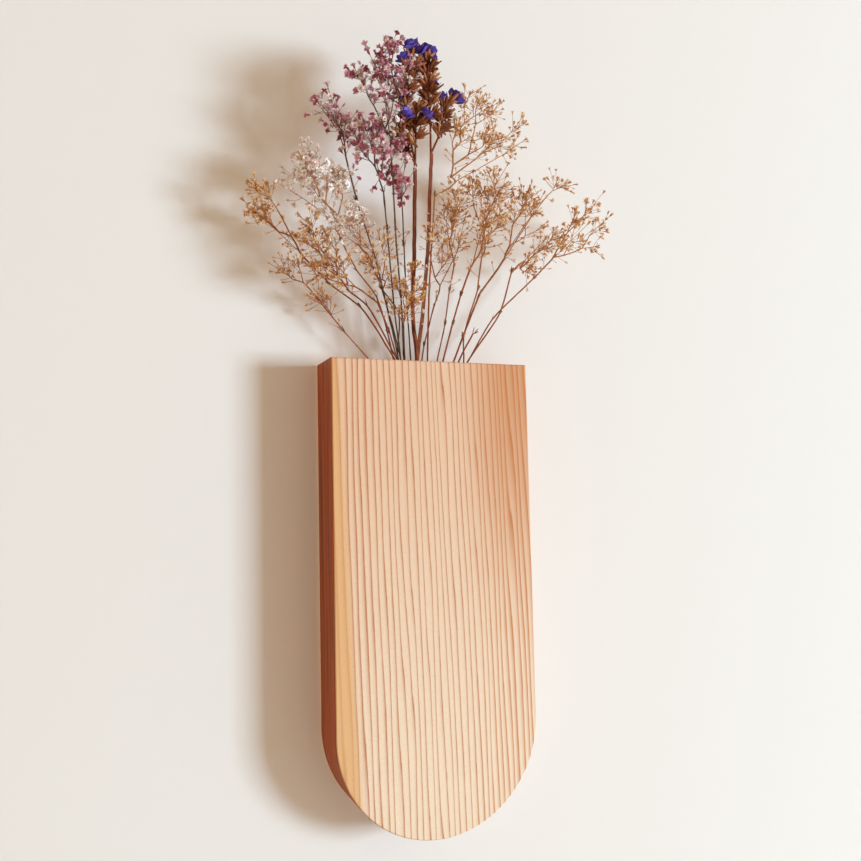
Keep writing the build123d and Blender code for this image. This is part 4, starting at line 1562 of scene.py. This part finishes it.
def plane_object(name, size, place, turn):
    half = size / 2
    corners = [(-half, -half, 0), (half, -half, 0), (half, half, 0), (-half, half, 0)]
    made = mesh_object(name, corners, [(0, 1, 2, 3)])
    made.rotation_euler = turn
    made.location = place
    return made


def plain_material(name, colour):
    made, _, shader = new_material(name)
    shader.inputs["Base Color"].default_value = (*colour, 1)
    shader.inputs["Roughness"].default_value = floor_roughness
    return made


def wall_material(colour):
    """A wall seen from the front only, so that the back of the vase can be looked at and lit."""
    made, tree, shader = new_material("pale_wall")
    plaster = tree.noise(object_place(tree)[0], plaster_grain, 4.0)
    shader.inputs["Base Color"].default_value = (*colour, 1)
    shader.inputs["Roughness"].default_value = wall_roughness
    bumps = {"Strength": plaster_bump, "Distance": plaster_bump_height, "Height": plaster}
    bump = tree.node("ShaderNodeBump", {}, bumps)
    tree.links.new(bump.outputs[0], shader.inputs["Normal"])
    behind = tree.add("ShaderNodeNewGeometry", {}, {}, 6)
    shadow_ray = tree.add("ShaderNodeLightPath", {}, {}, 1)
    open_share = behind.sum("MAXIMUM", shadow_ray)
    clear = tree.add("ShaderNodeBsdfTransparent", {}, {})
    mixed = tree.node("ShaderNodeMixShader", {}, {0: open_share, 1: Link(tree, shader.outputs[0]), 2: clear})
    out = [n for n in tree.nodes if n.type == "OUTPUT_MATERIAL"][0]
    tree.links.new(mixed.outputs[0], out.inputs[0])
    return made


def lamp_object(name, power, size, colour):
    data = bpy.data.lights.new(name, "AREA")
    data.energy = power
    data.size = size
    data.color = colour
    made = bpy.data.objects.new(name, data)
    bpy.context.scene.collection.objects.link(made)
    return made


def aim_lamp(lamp, place, target):
    lamp.location = place
    lamp.rotation_mode = "QUATERNION"
    lamp.rotation_quaternion = (target - place).to_track_quat("-Z", "Y")


def set_world(scene, level):
    """Even warm light all round, and a pale backdrop where the camera looks past the stage."""
    world = bpy.data.worlds.new("even_light")
    world.use_nodes = True
    world.node_tree.nodes.clear()
    tree = Tree(world.node_tree.nodes, world.node_tree.links)
    light = tree.add("ShaderNodeBackground", {}, ((*srgb(255, 217, 176), 1), level))
    seen = tree.add("ShaderNodeBackground", {}, ((*srgb(240, 238, 234), 1), 1.0))
    camera_ray = tree.add("ShaderNodeLightPath", {}, {}, 0)
    mixed = tree.add("ShaderNodeMixShader", {}, {0: camera_ray, 1: light, 2: seen})
    tree.node("ShaderNodeOutputWorld", {}, (mixed,))
    scene.world = world


def fitted_camera():
    """The camera that the photograph was taken from, worked out from the body's edges."""
    ahead = cos(camera_pitch)
    forward = Vector((sin(camera_yaw) * ahead, cos(camera_yaw) * ahead, sin(camera_pitch)))
    level = Vector((cos(camera_yaw), -sin(camera_yaw), 0))
    above = level.cross(forward)
    right = level * cos(camera_roll) + above * sin(camera_roll)
    up = above * cos(camera_roll) - level * sin(camera_roll)
    data = bpy.data.cameras.new("photo_camera")
    data.lens = camera_lens
    data.sensor_width = sensor_width
    data.clip_start = nearest_seen
    made = bpy.data.objects.new("photo_camera", data)
    turn = Matrix((right, up, -forward)).transposed()
    made.matrix_world = Matrix.Translation(Vector(camera_place)) @ turn.to_4x4()
    bpy.context.scene.collection.objects.link(made)
    return made


steps = (VASE_OT_finish_boards, VASE_OT_finish_hanger, VASE_OT_grow_stems, VASE_OT_grow_twigs,
         VASE_OT_grow_florets, VASE_OT_grow_statice, VASE_OT_grow_bracts, VASE_OT_build_stage)
groups = (VaseWood, BunchLook, StageLook)


def register():
    for made in groups + steps + (VASE_PT_panel,):
        bpy.utils.register_class(made)
    bpy.types.Scene.vase_wood = bpy.props.PointerProperty(type=VaseWood)
    bpy.types.Scene.vase_bunch = bpy.props.PointerProperty(type=BunchLook)
    bpy.types.Scene.vase_stage = bpy.props.PointerProperty(type=StageLook)


def unregister():
    del bpy.types.Scene.vase_wood
    del bpy.types.Scene.vase_bunch
    del bpy.types.Scene.vase_stage
    for made in reversed(groups + steps + (VASE_PT_panel,)):
        bpy.utils.unregister_class(made)


def main():
    register()
    bpy.ops.vase.finish_boards()
    bpy.ops.vase.finish_hanger()
    bpy.ops.vase.grow_stems()
    bpy.ops.vase.grow_twigs()
    bpy.ops.vase.grow_florets()
    bpy.ops.vase.grow_statice()
    bpy.ops.vase.grow_bracts()
    bpy.ops.vase.build_stage()


if __name__ == "__main__":
    main()
